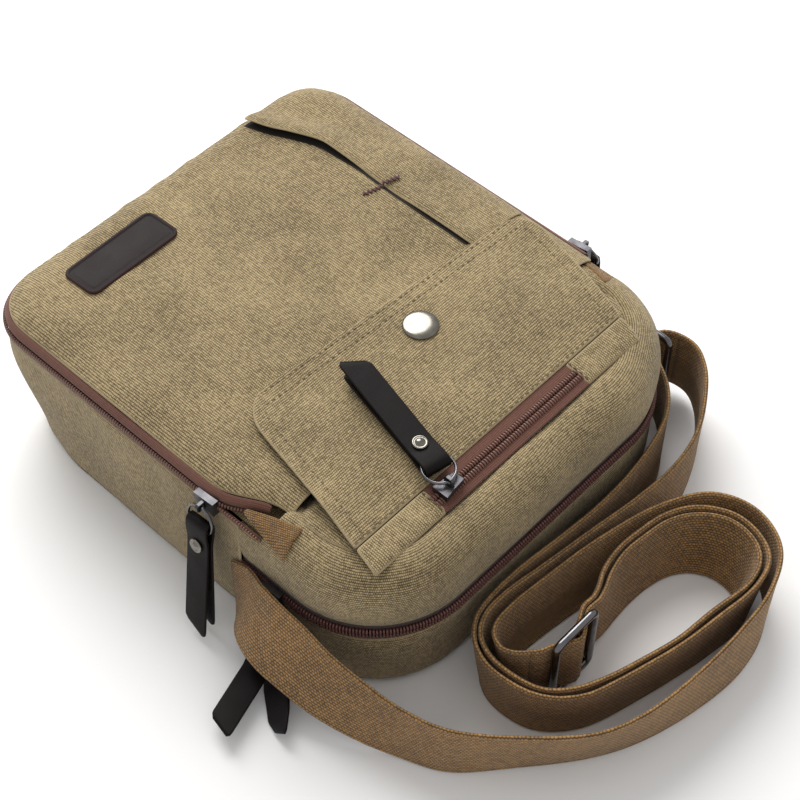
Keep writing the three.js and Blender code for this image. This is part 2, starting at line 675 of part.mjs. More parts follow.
function buildFlap() {
  const { left, right, low, high } = FLAP_WINDOW;
  const above = (height) => (x, y) => flapBottomAt(x, y) + height;
  const shell = slab(flapRows(0), above(FLAP_THICKNESS), above(FLAP_THICKNESS - CANVAS));
  const window = boxAt([left, low, FRONT_Z - 18], [right, high, FRONT_Z + 22]);
  addMesh('flap_shell', cut(shell, window, snapHole(2.4)), 'canvas');
  const lining = slab(flapRows(1.5), above(1.5), flapBottomAt);
  addMesh('flap_lining', cut(lining, snapHole(6.4)), 'canvasDark');
  addMesh('flap_zip_lower_tape', windowStrip(low + GAP, FLAP_ZIP_Y - 2.1, 1.8, 3), 'tape');
  addMesh('flap_zip_upper_tape', windowStrip(FLAP_ZIP_Y + 2.1, high - GAP, 1.8, 3), 'tape');
  addMesh('flap_zip_lower_coil', windowStrip(FLAP_ZIP_Y - 1.8, FLAP_ZIP_Y - 0.15, 1.8, 3.6), 'coil');
  addMesh('flap_zip_upper_coil', windowStrip(FLAP_ZIP_Y + 0.15, FLAP_ZIP_Y + 1.8, 1.8, 3.6), 'coil');
  addMesh('snap_cap', snapCapGeometry(), 'nickel');
  addMesh('snap_socket', snapSocketGeometry(), 'nickel');
  const seamRows = [HINGE_Y + GAP, (HINGE_Y + SEAM_STRIP_Y) / 2, SEAM_STRIP_Y].map((y) => (
    [-84, -40, 0, 48, 96].map((x) => [x * 0.985, y])
  ));
  const seamTop = () => SEAM_STRIP_TOP;
  addMesh('flap_seam_strip', slab(seamRows, seamTop, () => SEAM_STRIP_TOP - 1.5), 'canvas');
}

const SEAM_STRIP_TOP = 84;

// The shoulder strap --------------------------------------------------------

// Middle line of the webbing, standing on its edge: [x, y, z, lean in degrees towards the left]
const SINGLE_RUN = [
  [115.4, 42, 22, 0], [122.5, 52, 25, 10], [130.5, 63, 28, 16], [134.5, 77, 28.5, 22], [134.5, 92, 28, 22],
  [131, 110, 25, 18], [123.5, 130, 21.5, 12], [117.5, 147, 19.8, 5], [109.5, 168, 19.4, 0],
  [89, 191, 19.4, -8], [64.5, 212.5, 19.2, -12], [44, 222.5, 19.2, -8], [13, 229.5, 19.4, 0],
  [-18.5, 231.5, 19.3, 5], [-43, 227.5, 19.4, 1], [-63.5, 215.5, 19.4, -5], [-71, 196, 19.3, -9],
  [-65, 178.5, 19.2, -12], [-45, 165.5, 19, -12], [-8, 156, 19, -12], [20.5, 151.8, 19, -10],
  [44, 149.8, 19, -10], [56, 151.5, 19.1, -10], [61, 157.5, 19.6, -7], [60.6, 164, 20.8, -3],
  [57.8, 169.2, 22, 0],
];
const OUTER_LAYER = [
  [56.6, 170.9, 22.4, 0], [54, 173.1, 23, 0], [50, 174.8, 23.3, 0], [44, 178.2, 23.3, 0],
  [37, 181.9, 23.3, 0], [30, 178.2, 23.3, 0], [23.5, 174.8, 23.3, 0], [16, 174.9, 22.4, 0],
  [8, 173.6, 21, 3], [-1, 171.2, 19.8, 7], [-14, 169.5, 19.1, 10], [-27, 170.5, 19.1, 10],
  [-40, 173.5, 19, 12], [-50, 180, 18.9, 14], [-56.5, 191, 18.9, 16], [-56.5, 202, 18.9, 14],
  [-51.5, 211, 19, 10], [-40, 215.5, 19.1, 7], [-15, 213.5, 19.3, 3], [5, 210, 19.2, 7],
  [24, 205, 19.2, 7], [42, 199.5, 19.2, 6], [56, 192.4, 19.2, 6], [64.5, 183, 19.2, 7],
  [67.4, 172, 19.2, 7], [67, 158, 19.1, 8], [62.3, 148.5, 19.1, 9], [53.5, 144, 19, 10],
  [40, 143.4, 19, 10], [17, 146.6, 19, 10], [-12, 150.5, 19, 10], [-41, 154, 19.1, 8],
  [-66, 154.5, 19.2, 5], [-90, 149, 19.4, 0], [-110, 139, 20.5, 0], [-124, 128, 22.5, 0],
  [-130.5, 117, 24, 0], [-129.5, 106, 25, 0],
];
const INNER_LAYER = [
  [-128.9, 104.4, 25.1, 0], [-125.3, 99.6, 25.3, 0], [-117.5, 97.8, 25.3, 0], [-113.2, 102.5, 25, 0],
  [-110.5, 108.5, 24, 0], [-102.5, 121, 22.5, 0], [-90, 131, 21, 0], [-75, 137.5, 19.8, -4],
  [-51, 142.3, 19.3, -7], [-25, 143.2, 19.2, -7], [0, 141.4, 19.2, -7], [26, 138.8, 19.2, -7],
  [44, 138.8, 19.2, -7], [57, 141, 19.2, -7], [66.2, 147.5, 19.2, -7], [71.4, 157, 19.2, -6],
  [72.4, 168, 19.3, -5], [70, 181, 19.3, -5], [63.8, 191, 19.3, -6], [53.6, 199.2, 19.3, -6],
  [43, 203.6, 19.3, -5], [26, 208.7, 19.3, -5], [6, 213.8, 19.3, -5], [-14, 217.4, 19.3, -3],
  [-40, 219.8, 19.2, -4], [-54.5, 214.8, 19.1, -8], [-60.6, 203.5, 19, -12], [-60.9, 190.3, 19, -14],
  [-53.3, 177.2, 19.1, -13], [-41.5, 169.8, 19.1, -11], [-27.5, 166.6, 19.2, -9],
  [-13.5, 165.6, 19.2, -9], [0, 167.1, 19.8, -6], [9, 170, 21.3, -2], [16, 171.8, 22.4, 0],
  [23.5, 172, 23.3, 0], [28.5, 174.2, 23.3, 0], [33.4, 176.6, 23.3, 0],
];

function strapStations(route, steps) {
  const points = route.map(([x, y, z]) => new THREE.Vector3(x, y, z));
  const curve = new THREE.CatmullRomCurve3(points, false, 'centripetal');
  return Array.from({ length: steps + 1 }, (_, k) => {
    const t = k / steps;
    const along = t * (route.length - 1);
    const index = Math.min(Math.floor(along), route.length - 2);
    const lean = THREE.MathUtils.lerp(route[index][3], route[index + 1][3], along - index);
    const angle = THREE.MathUtils.degToRad(lean);
    const center = curve.getPoint(t);
    const tangent = curve.getTangent(t).setZ(0).normalize();
    const left = new THREE.Vector3(-tangent.y, tangent.x, 0);
    const across = left.clone().multiplyScalar(Math.sin(angle)).setZ(Math.cos(angle));
    const normal = left.multiplyScalar(Math.cos(angle)).setZ(-Math.sin(angle));
    return {
      center: center.toArray(),
      across: across.toArray(),
      normal: normal.toArray(),
      width: WEBBING,
      thickness: WEBBING_THICKNESS,
    };
  });
}

// A frame of round wire: its line runs round a rounded rectangle in the X-Z plane.
function wireFrame(width, height, radius, wire) {
  const [w, h] = [width / 2 - radius, height / 2 - radius];
  const corners = [[w, h, 0], [-w, h, 90], [-w, -h, 180], [w, -h, 270]];
  const line = corners.flatMap(([cx, cz, start]) => arcPoints(cx, cz, radius, start, start + 90, 4));
  return sectionSolid(line.map(([x, z, nx, nz]) => (
    Array.from({ length: 8 }, (_, k) => {
      const angle = (k / 8) * Math.PI * 2;
      const out = wire * Math.cos(angle);
      return [x + nx * out, wire * Math.sin(angle), z + nz * out];
    })
  )), true);
}

const RING = { x: -118.8, anchorY: 84.6, barY: 109, z: 26, height: 48.6, wire: 1.8 };
const GLIDE = { x: 37, y: 178.4, length: 27, height: 46, wire: 1.7 };

function buildStrap() {
  addMesh('strap_single_run', band(strapStations(SINGLE_RUN, 72)), 'webbing');
  addMesh('strap_outer_layer', band(strapStations(OUTER_LAYER, 88)), 'webbing');
  addMesh('strap_inner_layer', band(strapStations(INNER_LAYER, 88)), 'webbing');
  const ringFrame = wireFrame(RING.barY - RING.anchorY, RING.height - 2 * RING.wire, 3.5, RING.wire);
  ringFrame.rotateZ(Math.PI / 2).translate(RING.x, (RING.anchorY + RING.barY) / 2, RING.z);
  addMesh('strap_ring', ringFrame, 'metal');
  const glideHeight = GLIDE.height - 2 * GLIDE.wire;
  const glideFrame = wireFrame(GLIDE.length, glideHeight, 3.5, GLIDE.wire);
  const bar = new THREE.CylinderGeometry(GLIDE.wire, GLIDE.wire, glideHeight, 10).rotateX(Math.PI / 2);
  const glide = join(glideFrame, bar).translate(GLIDE.x, GLIDE.y, GLIDE.height / 2 + GAP);
  addMesh('strap_adjuster', glide, 'metal');
  addMesh('ring_loop', band(ringLoopStations()), 'webbing');
}

// Webbing sewn to the left side that wraps round the ring's anchor bar
function ringLoopStations() {
  const bend = [-60, -30, 0, 30, 60, 90, 120, 150, 180].map((degrees) => {
    const angle = THREE.MathUtils.degToRad(degrees);
    return [RING.x + 3.2 * Math.cos(angle), RING.anchorY + 3.2 * Math.sin(angle)];
  });
  const line = [[-115.3, 62], [-115.2, 72], ...bend, [-121, 79], [-118.6, 72], [-117.6, 62]];
  return line.map(([x, y], k) => {
    const [x0, y0] = line[Math.max(k - 1, 0)];
    const [x1, y1] = line[Math.min(k + 1, line.length - 1)];
    const length = Math.hypot(x1 - x0, y1 - y0);
    return {
      center: [x, y, RING.z],
      across: [0, 0, 1],
      normal: [-(y1 - y0) / length, (x1 - x0) / length, 0],
      width: 36,
      thickness: 1.6,
    };
  });
}

buildBody();
buildMainZip();
buildSideZip();
buildFrontPocket();
buildFlap();
buildZipPulls();
buildStrap();

export default root;
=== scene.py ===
"""A small canvas messenger bag lying on its back, with its webbing shoulder strap coiled beside it."""

import math

import bpy
import numpy as np
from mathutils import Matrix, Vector, noise


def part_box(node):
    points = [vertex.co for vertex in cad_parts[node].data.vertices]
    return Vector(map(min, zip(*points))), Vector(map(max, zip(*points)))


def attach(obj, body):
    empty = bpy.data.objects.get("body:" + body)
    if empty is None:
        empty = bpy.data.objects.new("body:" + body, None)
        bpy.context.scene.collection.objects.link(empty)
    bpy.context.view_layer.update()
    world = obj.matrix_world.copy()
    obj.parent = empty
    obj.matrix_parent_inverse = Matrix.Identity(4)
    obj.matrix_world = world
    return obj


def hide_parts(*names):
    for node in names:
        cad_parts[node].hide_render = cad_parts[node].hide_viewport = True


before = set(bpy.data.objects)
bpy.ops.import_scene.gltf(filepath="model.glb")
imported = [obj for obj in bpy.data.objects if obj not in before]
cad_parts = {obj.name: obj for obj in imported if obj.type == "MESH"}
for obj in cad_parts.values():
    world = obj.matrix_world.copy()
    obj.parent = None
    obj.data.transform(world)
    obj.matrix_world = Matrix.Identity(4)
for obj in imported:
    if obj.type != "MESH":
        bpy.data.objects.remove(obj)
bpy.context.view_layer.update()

MM = 0.001


def box_mm(node):
    """The lowest and highest corners of a CAD node, in millimetres."""
    low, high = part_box(node)
    return np.array(low) / MM, np.array(high) / MM


# --- Sizes in millimetres, read from the frame where a CAD node has them ---

HALF_WIDTH, HALF_HEIGHT = box_mm("back_panel")[1][:2]
BOTTOM_RADIUS = 28.0
TOP_RADIUS = 52.0
BOTTOM_CORNER = HALF_WIDTH - BOTTOM_RADIUS, -HALF_HEIGHT + BOTTOM_RADIUS
TOP_CORNER = HALF_WIDTH - TOP_RADIUS, HALF_HEIGHT - TOP_RADIUS
SEAM_Y = box_mm("rear_top_gusset")[0][1]
GUSSET_TOP = box_mm("side_gusset")[1][2]
REAR_TOP = box_mm("rear_top_gusset")[1][2]
FRONT_LOW = box_mm("front_top_gusset")[0][2]
CENTRE = np.array([0.0, 0.0, 40.0])

# The front pocket: its panel's edges, its mouth, the slash pocket's slit and the snap
PANEL_EDGE = HALF_WIDTH - 2.8
PANEL_BOTTOM = -(HALF_HEIGHT - 1.8)
PANEL_RADIUS = BOTTOM_RADIUS - 2.2
PANEL_CORNER_Y = PANEL_BOTTOM + PANEL_RADIUS
MOUTH_Y, FRONT_Z = box_mm("front_panel")[1][1:]
SLIT_X = -72.0
SNAP = np.array([-15.0, 37.0])

# The flap, whose corners run from its lower left; the window holds its zip
HINGE_Y = box_mm("flap_shell")[1][1]
FLAP_CORNERS = np.array([(-106.0, 22.0), (75.0, 8.0), (96.0, HINGE_Y), (-84.0, HINGE_Y)])
FLAP_LOW_Y = 15.0
FLAP_LOW_Z = box_mm("flap_lining")[1][2] - 1.5
FLAP_RADIUS = 17.0
FLAP_TOP = 3.8
FLAP_ZIP_Y = 106.3
WINDOW_LEFT, WINDOW_RIGHT = -46.0, 50.0
WINDOW_LOW, WINDOW_HIGH = 98.6, 112.4

STRAP_WIDTH = 38.0
STRAP_THICKNESS = 2.0
STRAP_STEP = 2.6

TOOTH_PITCH = 1.5
STITCH_GAP = 1.2
STITCH_WIDTH = 0.65

PULL_WIDTH = 13.5
PULL_FOLD = 9.6
PULL_STEP = 1.6
RIVET_AT = 22.0
RING_RADIUS = 7.6


# --- Camera, floor and light ---


def add_object(name, data):
    """A new object in the scene; only add_piece makes it a piece of the bag."""
    thing = bpy.data.objects.new(name, data)
    bpy.context.scene.collection.objects.link(thing)
    return thing


def add_camera():
    """The photo's camera, looking down on the bag from its top right."""
    azimuth, elevation, distance = math.radians(133.0), math.radians(51.85), 0.931
    target = Vector((-0.0295, 0.0104, 0.0))
    back = Vector((
        math.sin(azimuth) * math.cos(elevation),
        -math.cos(azimuth) * math.cos(elevation),
        math.sin(elevation),
    ))
    camera = add_object("camera", bpy.data.cameras.new("camera"))
    camera.data.lens = 81.4
    camera.data.clip_start = 0.05
    camera.location = target + back * distance
    camera.rotation_euler = back.to_track_quat("Z", "Y").to_euler()
    bpy.context.scene.camera = camera


def add_light(name, location, target, size, watts, colour):
    """A round soft light that faces its target."""
    light = bpy.data.lights.new(name, "AREA")
    light.shape = "DISK"
    light.size = size
    light.energy = watts
    light.color = colour
    lamp = add_object(name, light)
    lamp.location = location
    away = Vector(location) - Vector(target)
    lamp.rotation_euler = away.to_track_quat("Z", "Y").to_euler()


def add_studio():
    """One large light over the bag's far side, in an even white surround."""
    middle = (0.0, 0.05, 0.05)
    add_light("overhead", (-0.6, -1.0, 1.3), middle, 1.5, 33, (1.0, 0.99, 0.97))
    world = bpy.data.worlds.new("studio")
    world.use_nodes = True
    background = world.node_tree.nodes["Background"]
    background.inputs["Color"].default_value = (1.0, 1.0, 1.0, 1.0)
    background.inputs["Strength"].default_value = 0.68
    bpy.context.scene.world = world
    bpy.context.scene.view_settings.view_transform = "Standard"


def add_floor():
    """A wide white floor just under the bag."""
    mesh = bpy.data.meshes.new("floor")
    half, z = 6.0, -0.0002
    corners = [(-half, -half, z), (half, -half, z), (half, half, z), (-half, half, z)]
    mesh.from_pydata(corners, [], [(0, 1, 2, 3)])
    mesh.materials.append(plain_material("floor", (0.9, 0.9, 0.9), 0.6))
    add_object("floor", mesh)


# --- Materials ---


def plain_material(name, colour, roughness, **sockets):
    """One colour and roughness; further shader sockets by name, with _ for each space."""
    material = bpy.data.materials.new(name)
    material.use_nodes = True
    shader = material.node_tree.nodes["Principled BSDF"]
    shader.inputs["Base Color"].default_value = (*colour[:3], 1.0)
    shader.inputs["Roughness"].default_value = roughness
    for socket, value in sockets.items():
        shader.inputs[socket.replace("_", " ")].default_value = value
    return material


class Graph:
    """Adds nodes to a material's tree; a socket, a number or a colour may feed any input."""

    def __init__(self, material):
        self.tree = material.node_tree
        self.shader = self.tree.nodes["Principled BSDF"]

    def node(self, kind, inputs=None, **settings):
        node = self.tree.nodes.new(kind)
        for key, value in settings.items():
            setattr(node, key, value)
        for key, value in (inputs or {}).items():
            self.feed(value, node.inputs[key])
        return node

    def feed(self, value, socket):
        if isinstance(value, bpy.types.NodeSocket):
            self.tree.links.new(value, socket)
        else:
            socket.default_value = value

    def finish(self, name, value):
        """Feeds one of the shader's own inputs."""
        self.feed(value, self.shader.inputs[name])

    def math(self, operation, a, b=0.0):
        return self.node("ShaderNodeMath", {0: a, 1: b}, operation=operation).outputs[0]

    def plus(self, a, b):
        return self.math("ADD", a, b)

    def times(self, a, b):
        return self.math("MULTIPLY", a, b)

    def centred(self, value, amount):
        """A value from 0 to 1, moved to lie round 0 and scaled."""
        return self.times(self.math("SUBTRACT", value, 0.5), amount)

    def wave(self, value, power):
        """Rounded ridges, one for each whole number."""
        cosine = self.math("COSINE", self.times(value, math.pi))
        return self.math("POWER", self.math("ABSOLUTE", cosine), power)

    def blend(self, factor, a, b):
        mix = self.node("ShaderNodeMix", data_type="RGBA")
        for value, socket in ((factor, mix.inputs[0]), (a, mix.inputs[6]), (b, mix.inputs[7])):
            self.feed(value, socket)
        return mix.outputs[2]

    def noise(self, vector, scale, detail=2.0):
        inputs = {"Vector": vector, "Scale": scale, "Detail": detail}
        return self.node("ShaderNodeTexNoise", inputs).outputs["Fac"]

    def ramp(self, value, low, high):
        inputs = {"Value": value, "From Min": low, "From Max": high}
        return self.node("ShaderNodeMapRange", inputs, interpolation_type="SMOOTHSTEP").outputs["Result"]

    def vector(self, x, y, z=0.0):
        return self.node("ShaderNodeCombineXYZ", {0: x, 1: y, 2: z}).outputs[0]

    def rim(self):
        """Distance from the edge of the piece, in millimetres."""
        return self.node("ShaderNodeAttribute", attribute_name="rim").outputs["Fac"]

    def bump(self, height, strength, distance):
        inputs = {"Height": height, "Strength": strength, "Distance": distance * MM}
        self.finish("Normal", self.node("ShaderNodeBump", inputs).outputs["Normal"])


def rgb(red, green, blue):
    """A linear colour from 0 to 255 display values."""
    return tuple((value / 255) ** 2.2 for value in (red, green, blue)) + (1.0,)


def darker(colour, share):
    return tuple(share * value for value in colour[:3]) + (1.0,)


def woven(name, light, dark, pitch, depth, ridge=0.35, mottle=0.5, wear=None):
    """Cloth woven from threads: pitch is (along, across) in millimetres of the piece's UV map."""
    material = plain_material(name, light, 0.92, Sheen_Weight=0.12, Sheen_Roughness=0.6)
    graph = Graph(material)
    plus, times = graph.plus, graph.times
    uv = graph.node("ShaderNodeUVMap", uv_map="weave").outputs["UV"]
    split = graph.node("ShaderNodeSeparateXYZ", {0: uv})
    u, v = split.outputs[0], split.outputs[1]
    drift = graph.centred(graph.noise(uv, 0.35, 1.0), 0.5 * pitch[1])
    rows = graph.math("DIVIDE", plus(v, drift), pitch[1])
    row_number = graph.math("ROUND", rows)
    stagger = times(graph.math("MODULO", row_number, 2.0), 0.5)
    beads = plus(graph.math("DIVIDE", plus(u, drift), pitch[0]), stagger)
    cell = graph.vector(graph.math("ROUND", beads), row_number)
    dyed = graph.node("ShaderNodeTexWhiteNoise", {"Vector": cell}).outputs["Value"]
    bead_height = plus(times(graph.wave(beads, 0.8), 1.0 - ridge), ridge)
    height = times(graph.wave(rows, 0.7), bead_height)
    slub_along = graph.noise(graph.vector(times(u, 0.12), times(v, 0.9)), 1.0, 3.0)
    slub_across = graph.noise(graph.vector(times(u, 0.9), times(v, 0.12), 7.0), 1.0)
    speck = graph.noise(uv, 1.1, 1.0)
    patch = graph.noise(uv, 0.022, 3.0)
    tone = times(graph.ramp(height, 0.1, 0.95), 0.55)
    for fleck, share in ((dyed, 0.45), (slub_along, 0.7), (slub_across, 0.5), (speck, 0.6), (patch, 0.9)):
        tone = plus(tone, graph.centred(fleck, share * mottle))
    colour = graph.blend(graph.ramp(tone, -0.1, 0.8), dark, light)
    if wear:
        ragged = plus(graph.rim(), graph.centred(speck, 2.5))
        colour = graph.blend(graph.ramp(ragged, 1.5, 0.0), colour, wear)
    graph.finish("Base Color", colour)
    graph.bump(plus(height, times(slub_along, 0.5)), 0.9, depth)
    return material


def solid_look(name, colour, roughness, **sockets):
    """A plain material, its graph and the place on the piece that its pattern follows."""
    material = plain_material(name, colour, roughness, **sockets)
    graph = Graph(material)
    return material, graph, graph.node("ShaderNodeTexCoord").outputs["Object"]


def leather(name, colour, edge):
    """Grained leather, with a paler worn edge."""
    material, graph, place = solid_look(name, colour, 0.5, Specular_IOR_Level=0.14)
    inputs = {"Vector": place, "Scale": 1300.0}
    cells = graph.node("ShaderNodeTexVoronoi", inputs, feature="DISTANCE_TO_EDGE")
    crease = graph.ramp(cells.outputs["Distance"], 0.0, 0.14)
    smear = graph.noise(place, 90.0, 4.0)
    tinted = graph.blend(graph.times(smear, 0.3), colour, edge)
    graph.finish("Base Color", graph.blend(graph.ramp(graph.rim(), 1.2, 0.1), tinted, edge))
    graph.finish("Roughness", graph.plus(graph.times(smear, 0.22), 0.4))
    graph.bump(graph.plus(crease, graph.times(smear, 1.5)), 0.35, 0.1)
    return material


def metal(name, colour, roughness):
    """Plated metal with dull patches."""
    material, graph, place = solid_look(name, colour, roughness, Metallic=1.0)
    tarnish = graph.noise(place, 220.0, 5.0)
    graph.finish("Base Color", graph.blend(graph.ramp(tarnish, 0.35, 0.7), colour, darker(colour, 0.72)))
    graph.finish("Roughness", graph.plus(graph.times(tarnish, 0.16), roughness - 0.06))
    graph.bump(graph.noise(place, 900.0, 2.0), 0.06, 0.05)
    return material


def thread(name, colour):
    """Sewing thread, in fine twisted bands."""
    material, graph, place = solid_look(name, colour, 0.7, Sheen_Weight=0.2)
    inputs = {"Vector": place, "Scale": 900.0, "Distortion": 1.5}
    twist = graph.node("ShaderNodeTexWave", inputs).outputs["Fac"]
    graph.finish("Base Color", graph.blend(twist, darker(colour, 0.6), colour))
    graph.bump(twist, 0.5, 0.1)
    return material


def moulded(name, colour, roughness):
    """The nylon of a zip's teeth."""
    material, graph, place = solid_look(name, colour, roughness)
    grain = graph.noise(place, 500.0, 3.0)
    graph.finish("Base Color", graph.blend(grain, darker(colour, 0.55), colour))
    graph.bump(grain, 0.2, 0.1)
    return material


LOOKS = {
    "canvas": woven("canvas", rgb(182, 161, 119), rgb(65, 51, 26), (1.0, 1.2), 0.16, wear=rgb(160, 142, 108)),
    "canvas_back": woven("canvas_back", rgb(148, 131, 96), rgb(74, 62, 38), (1.0, 1.2), 0.16),
    # Near black: painted shade for the shadow inside the slash pocket's opening
    "opening": plain_material("opening", (0.012, 0.009, 0.006), 0.95),
    "lining": woven("lining", rgb(92, 84, 72), rgb(52, 46, 38), (0.7, 0.7), 0.1, 0.2),
    "webbing": woven("webbing", rgb(171, 130, 77), rgb(69, 49, 25), (1.7, 1.5), 0.35, 0.3, 0.45),
    "tape": woven("tape", rgb(118, 78, 64), rgb(80, 48, 38), (0.8, 0.9), 0.12, 0.3, 0.3),
    "main_tape": woven("main_tape", rgb(74, 50, 44), rgb(38, 24, 20), (0.8, 0.9), 0.12, 0.3, 0.3),
    "leather": leather("pull_leather", rgb(10, 8, 8), rgb(24, 18, 17)),
    "label": leather("label_leather", rgb(26, 22, 23), rgb(60, 40, 38)),
    "gunmetal": metal("gunmetal", rgb(112, 111, 114), 0.18),
    "slider": metal("slider_metal", rgb(92, 91, 94), 0.38),
    "nickel": metal("nickel", rgb(132, 128, 120), 0.16),
    "thread": thread("thread", rgb(128, 110, 76)),
    "bartack": thread("bartack", rgb(84, 42, 40)),
    "coil": moulded("zip_coil", rgb(120, 84, 72), 0.32),
    "main_coil": moulded("main_zip_coil", rgb(108, 70, 64), 0.3),
}


# --- Meshes ---


def add_piece(name, points, faces, look, body="bag", nodes="", uvs=None, rim=None, levels=0):
    """A piece of the bag from points in millimetres; nodes names the CAD nodes that it replaces."""
    points = np.asarray(points, dtype=float)
    mesh = bpy.data.meshes.new(name)
    mesh.from_pydata((points * MM).tolist(), [], [tuple(face) for face in faces])
    mesh.materials.append(LOOKS[look])
    mesh.shade_smooth()
    corners = np.empty(len(mesh.loops), dtype=np.int32)
    mesh.loops.foreach_get("vertex_index", corners)
    uvs = points[:, :2] if uvs is None else np.asarray(uvs, dtype=float)
    mesh.uv_layers.new(name="weave").data.foreach_set("uv", uvs[corners].ravel())
    rim = np.full(len(points), 9.0) if rim is None else np.asarray(rim, dtype=float)
    mesh.attributes.new("rim", "FLOAT", "POINT").data.foreach_set("value", rim)
    piece = add_object(name, mesh)
    if levels:
        surface = piece.modifiers.new("subdivision", "SUBSURF")
        surface.levels = levels
        surface.render_levels = levels
    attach(piece, body)
    if nodes:
        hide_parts(*nodes.split())
    return piece


def unit(vectors):
    return vectors / np.maximum(np.linalg.norm(vectors, axis=-1, keepdims=True), 1e-9)


def smooth(value):
    """0 below 0, 1 above 1 and an even curve between."""
    t = np.clip(value, 0.0, 1.0)
    return t * t * (3 - 2 * t)


def circle(count):
    """Cosine and sine pairs round a circle."""
    angles = np.linspace(0, 2 * math.pi, count, endpoint=False)
    return np.stack([np.cos(angles), np.sin(angles)], axis=1)


def travel_along(line):
    """The distance from a line's first point to each of its points."""
    steps = np.linalg.norm(np.diff(line, axis=0), axis=1)
    return np.concatenate([[0.0], np.cumsum(steps)])


def sampled(values, travel, at):
    """The values that belong to a line's points, read at other distances along it."""
    return np.stack([np.interp(at, travel, column) for column in values.T], axis=-1)


def up_vectors(line, sign=1):
    return np.tile([0.0, 0.0, float(sign)], (len(line), 1))


def grid_normals(grid, centre):
    """Normals of a grid of points, all turned away from the centre."""
    normals = unit(np.cross(np.gradient(grid, axis=1), np.gradient(grid, axis=0)))
    outward = (normals * (grid - centre)).sum()
    return normals if outward > 0 else -normals


def grid_lengths(grid):
    """For each point, its distance along its row and down its column, from the first of each."""
    along = np.linalg.norm(np.diff(grid, axis=1), axis=2)
    along = np.concatenate([np.zeros((len(grid), 1)), np.cumsum(along, axis=1)], axis=1)
    down = np.linalg.norm(np.diff(grid, axis=0), axis=2)
    down = np.concatenate([np.zeros((1, grid.shape[1])), np.cumsum(down, axis=0)], axis=0)
    return along, down


def rim_distance(along, down):
    """Each point's distance from the nearest edge of its grid."""
    return np.minimum.reduce([along, along[:, -1:] - along, down, down[-1:] - down])


def sheet(name, grid, look, thickness=1.2, uv=None, centre=CENTRE, levels=1, **keys):
    """Cloth whose face is a grid of points and whose back lies a thickness behind it."""
    grid = np.asarray(grid, dtype=float)
    rows, columns, _ = grid.shape
    normals = grid_normals(grid, centre)
    along, down = grid_lengths(grid)
    uv = np.stack([along[rows // 2] + 0 * along, down], axis=2) if uv is None else np.asarray(uv)
    points = np.concatenate([grid.reshape(-1, 3), (grid - normals * thickness).reshape(-1, 3)])
    back = rows * columns
    faces = []
    for i in range(rows - 1):
        for j in range(columns - 1):
            a, b = i * columns + j, i * columns + j + 1
            c, d = b + columns, a + columns
            faces.append((a, b, c, d))
            faces.append((back + a, back + d, back + c, back + b))
    index = np.arange(back).reshape(rows, columns)
    edge = np.concatenate([index[0], index[1:, -1], index[-1, -2::-1], index[-2:0:-1, 0]]).tolist()
    for a, b in zip(edge, edge[1:] + edge[:1]):
        faces.append((a, back + a, back + b, b))
    turn = np.cross(grid[0, 1] - grid[0, 0], grid[1, 1] - grid[0, 0])
    if turn @ normals[0, 0] < 0:
        faces = [face[::-1] for face in faces]
    uvs = np.concatenate([uv.reshape(-1, 2)] * 2)
    rims = np.concatenate([rim_distance(along, down).ravel()] * 2)
    return add_piece(name, points, faces, look, uvs=uvs, rim=rims, levels=levels, **keys)


def skin(first, count, size, closed=False):
    """Faces through count rings of size points: capped at both ends, or closed on themselves."""
    faces = []
    for i in range(count if closed else count - 1):
        a, b = first + i * size, first + (i + 1) % count * size
        faces += [(a + k, a + (k + 1) % size, b + (k + 1) % size, b + k) for k in range(size)]
    if not closed:
        last = first + (count - 1) * size
        faces.append(tuple(range(first, first + size))[::-1])
        faces.append(tuple(range(last, last + size)))
    return faces


def tube(name, rings, look, closed=False, **keys):
    """A solid skin through rings of points."""
    rings = np.asarray(rings, dtype=float)
    count, size, _ = rings.shape
    return add_piece(name, rings.reshape(-1, 3), skin(0, count, size, closed), look, **keys)


def lathe(name, profile, place, look, body="bag", axes=np.eye(3), **keys):
    """A turned piece: profile is (radius, height) pairs along the last of the three axes."""
    rings = [[place + axes[0] * radius * c + axes[1] * radius * s + axes[2] * height for c, s in circle(40)]
             for radius, height in profile]
    return tube(name, rings, look, body=body, **keys)


def rounded_rectangle(width, height, radius, per_corner=7):
    corners = []
    for k, (sx, sy) in enumerate([(1, 1), (-1, 1), (-1, -1), (1, -1)]):
        for a in np.radians(np.linspace(90 * k, 90 * k + 90, per_corner)):
            corners.append((sx * (width / 2 - radius) + radius * math.cos(a),
                            sy * (height / 2 - radius) + radius * math.sin(a)))
    return np.array(corners)


def mixed(t, start, stop, a, b):
    """The value at t of a line that is a at its start and b at its stop."""
    return ((stop - t) * a + (t - start) * b) / (stop - start)


def curve_through(points, spacing):
    """Evenly spaced points on a smooth curve through the given ones, in any number of dimensions."""
    points = np.asarray(points, dtype=float)
    ends = np.vstack([2 * points[0] - points[1], points, 2 * points[-1] - points[-2]])
    dense = []
    for p0, p1, p2, p3 in zip(ends, ends[1:], ends[2:], ends[3:]):
        gaps = [math.sqrt(np.linalg.norm(step)) + 1e-9 for step in (p1 - p0, p2 - p1, p3 - p2)]
        t0, t1, t2, t3 = np.cumsum([0.0] + gaps)
        for t in np.linspace(t1, t2, 12, endpoint=False):
            before = mixed(t, t0, t2, mixed(t, t0, t1, p0, p1), mixed(t, t1, t2, p1, p2))
            after = mixed(t, t1, t3, mixed(t, t1, t2, p1, p2), mixed(t, t2, t3, p2, p3))
            dense.append(mixed(t, t1, t2, before, after))
    dense = np.array(dense + [points[-1]])
    travel = travel_along(dense[:, :3])
    count = max(2, int(round(travel[-1] / spacing)) + 1)
    return sampled(dense, travel, np.linspace(0.0, travel[-1], count))


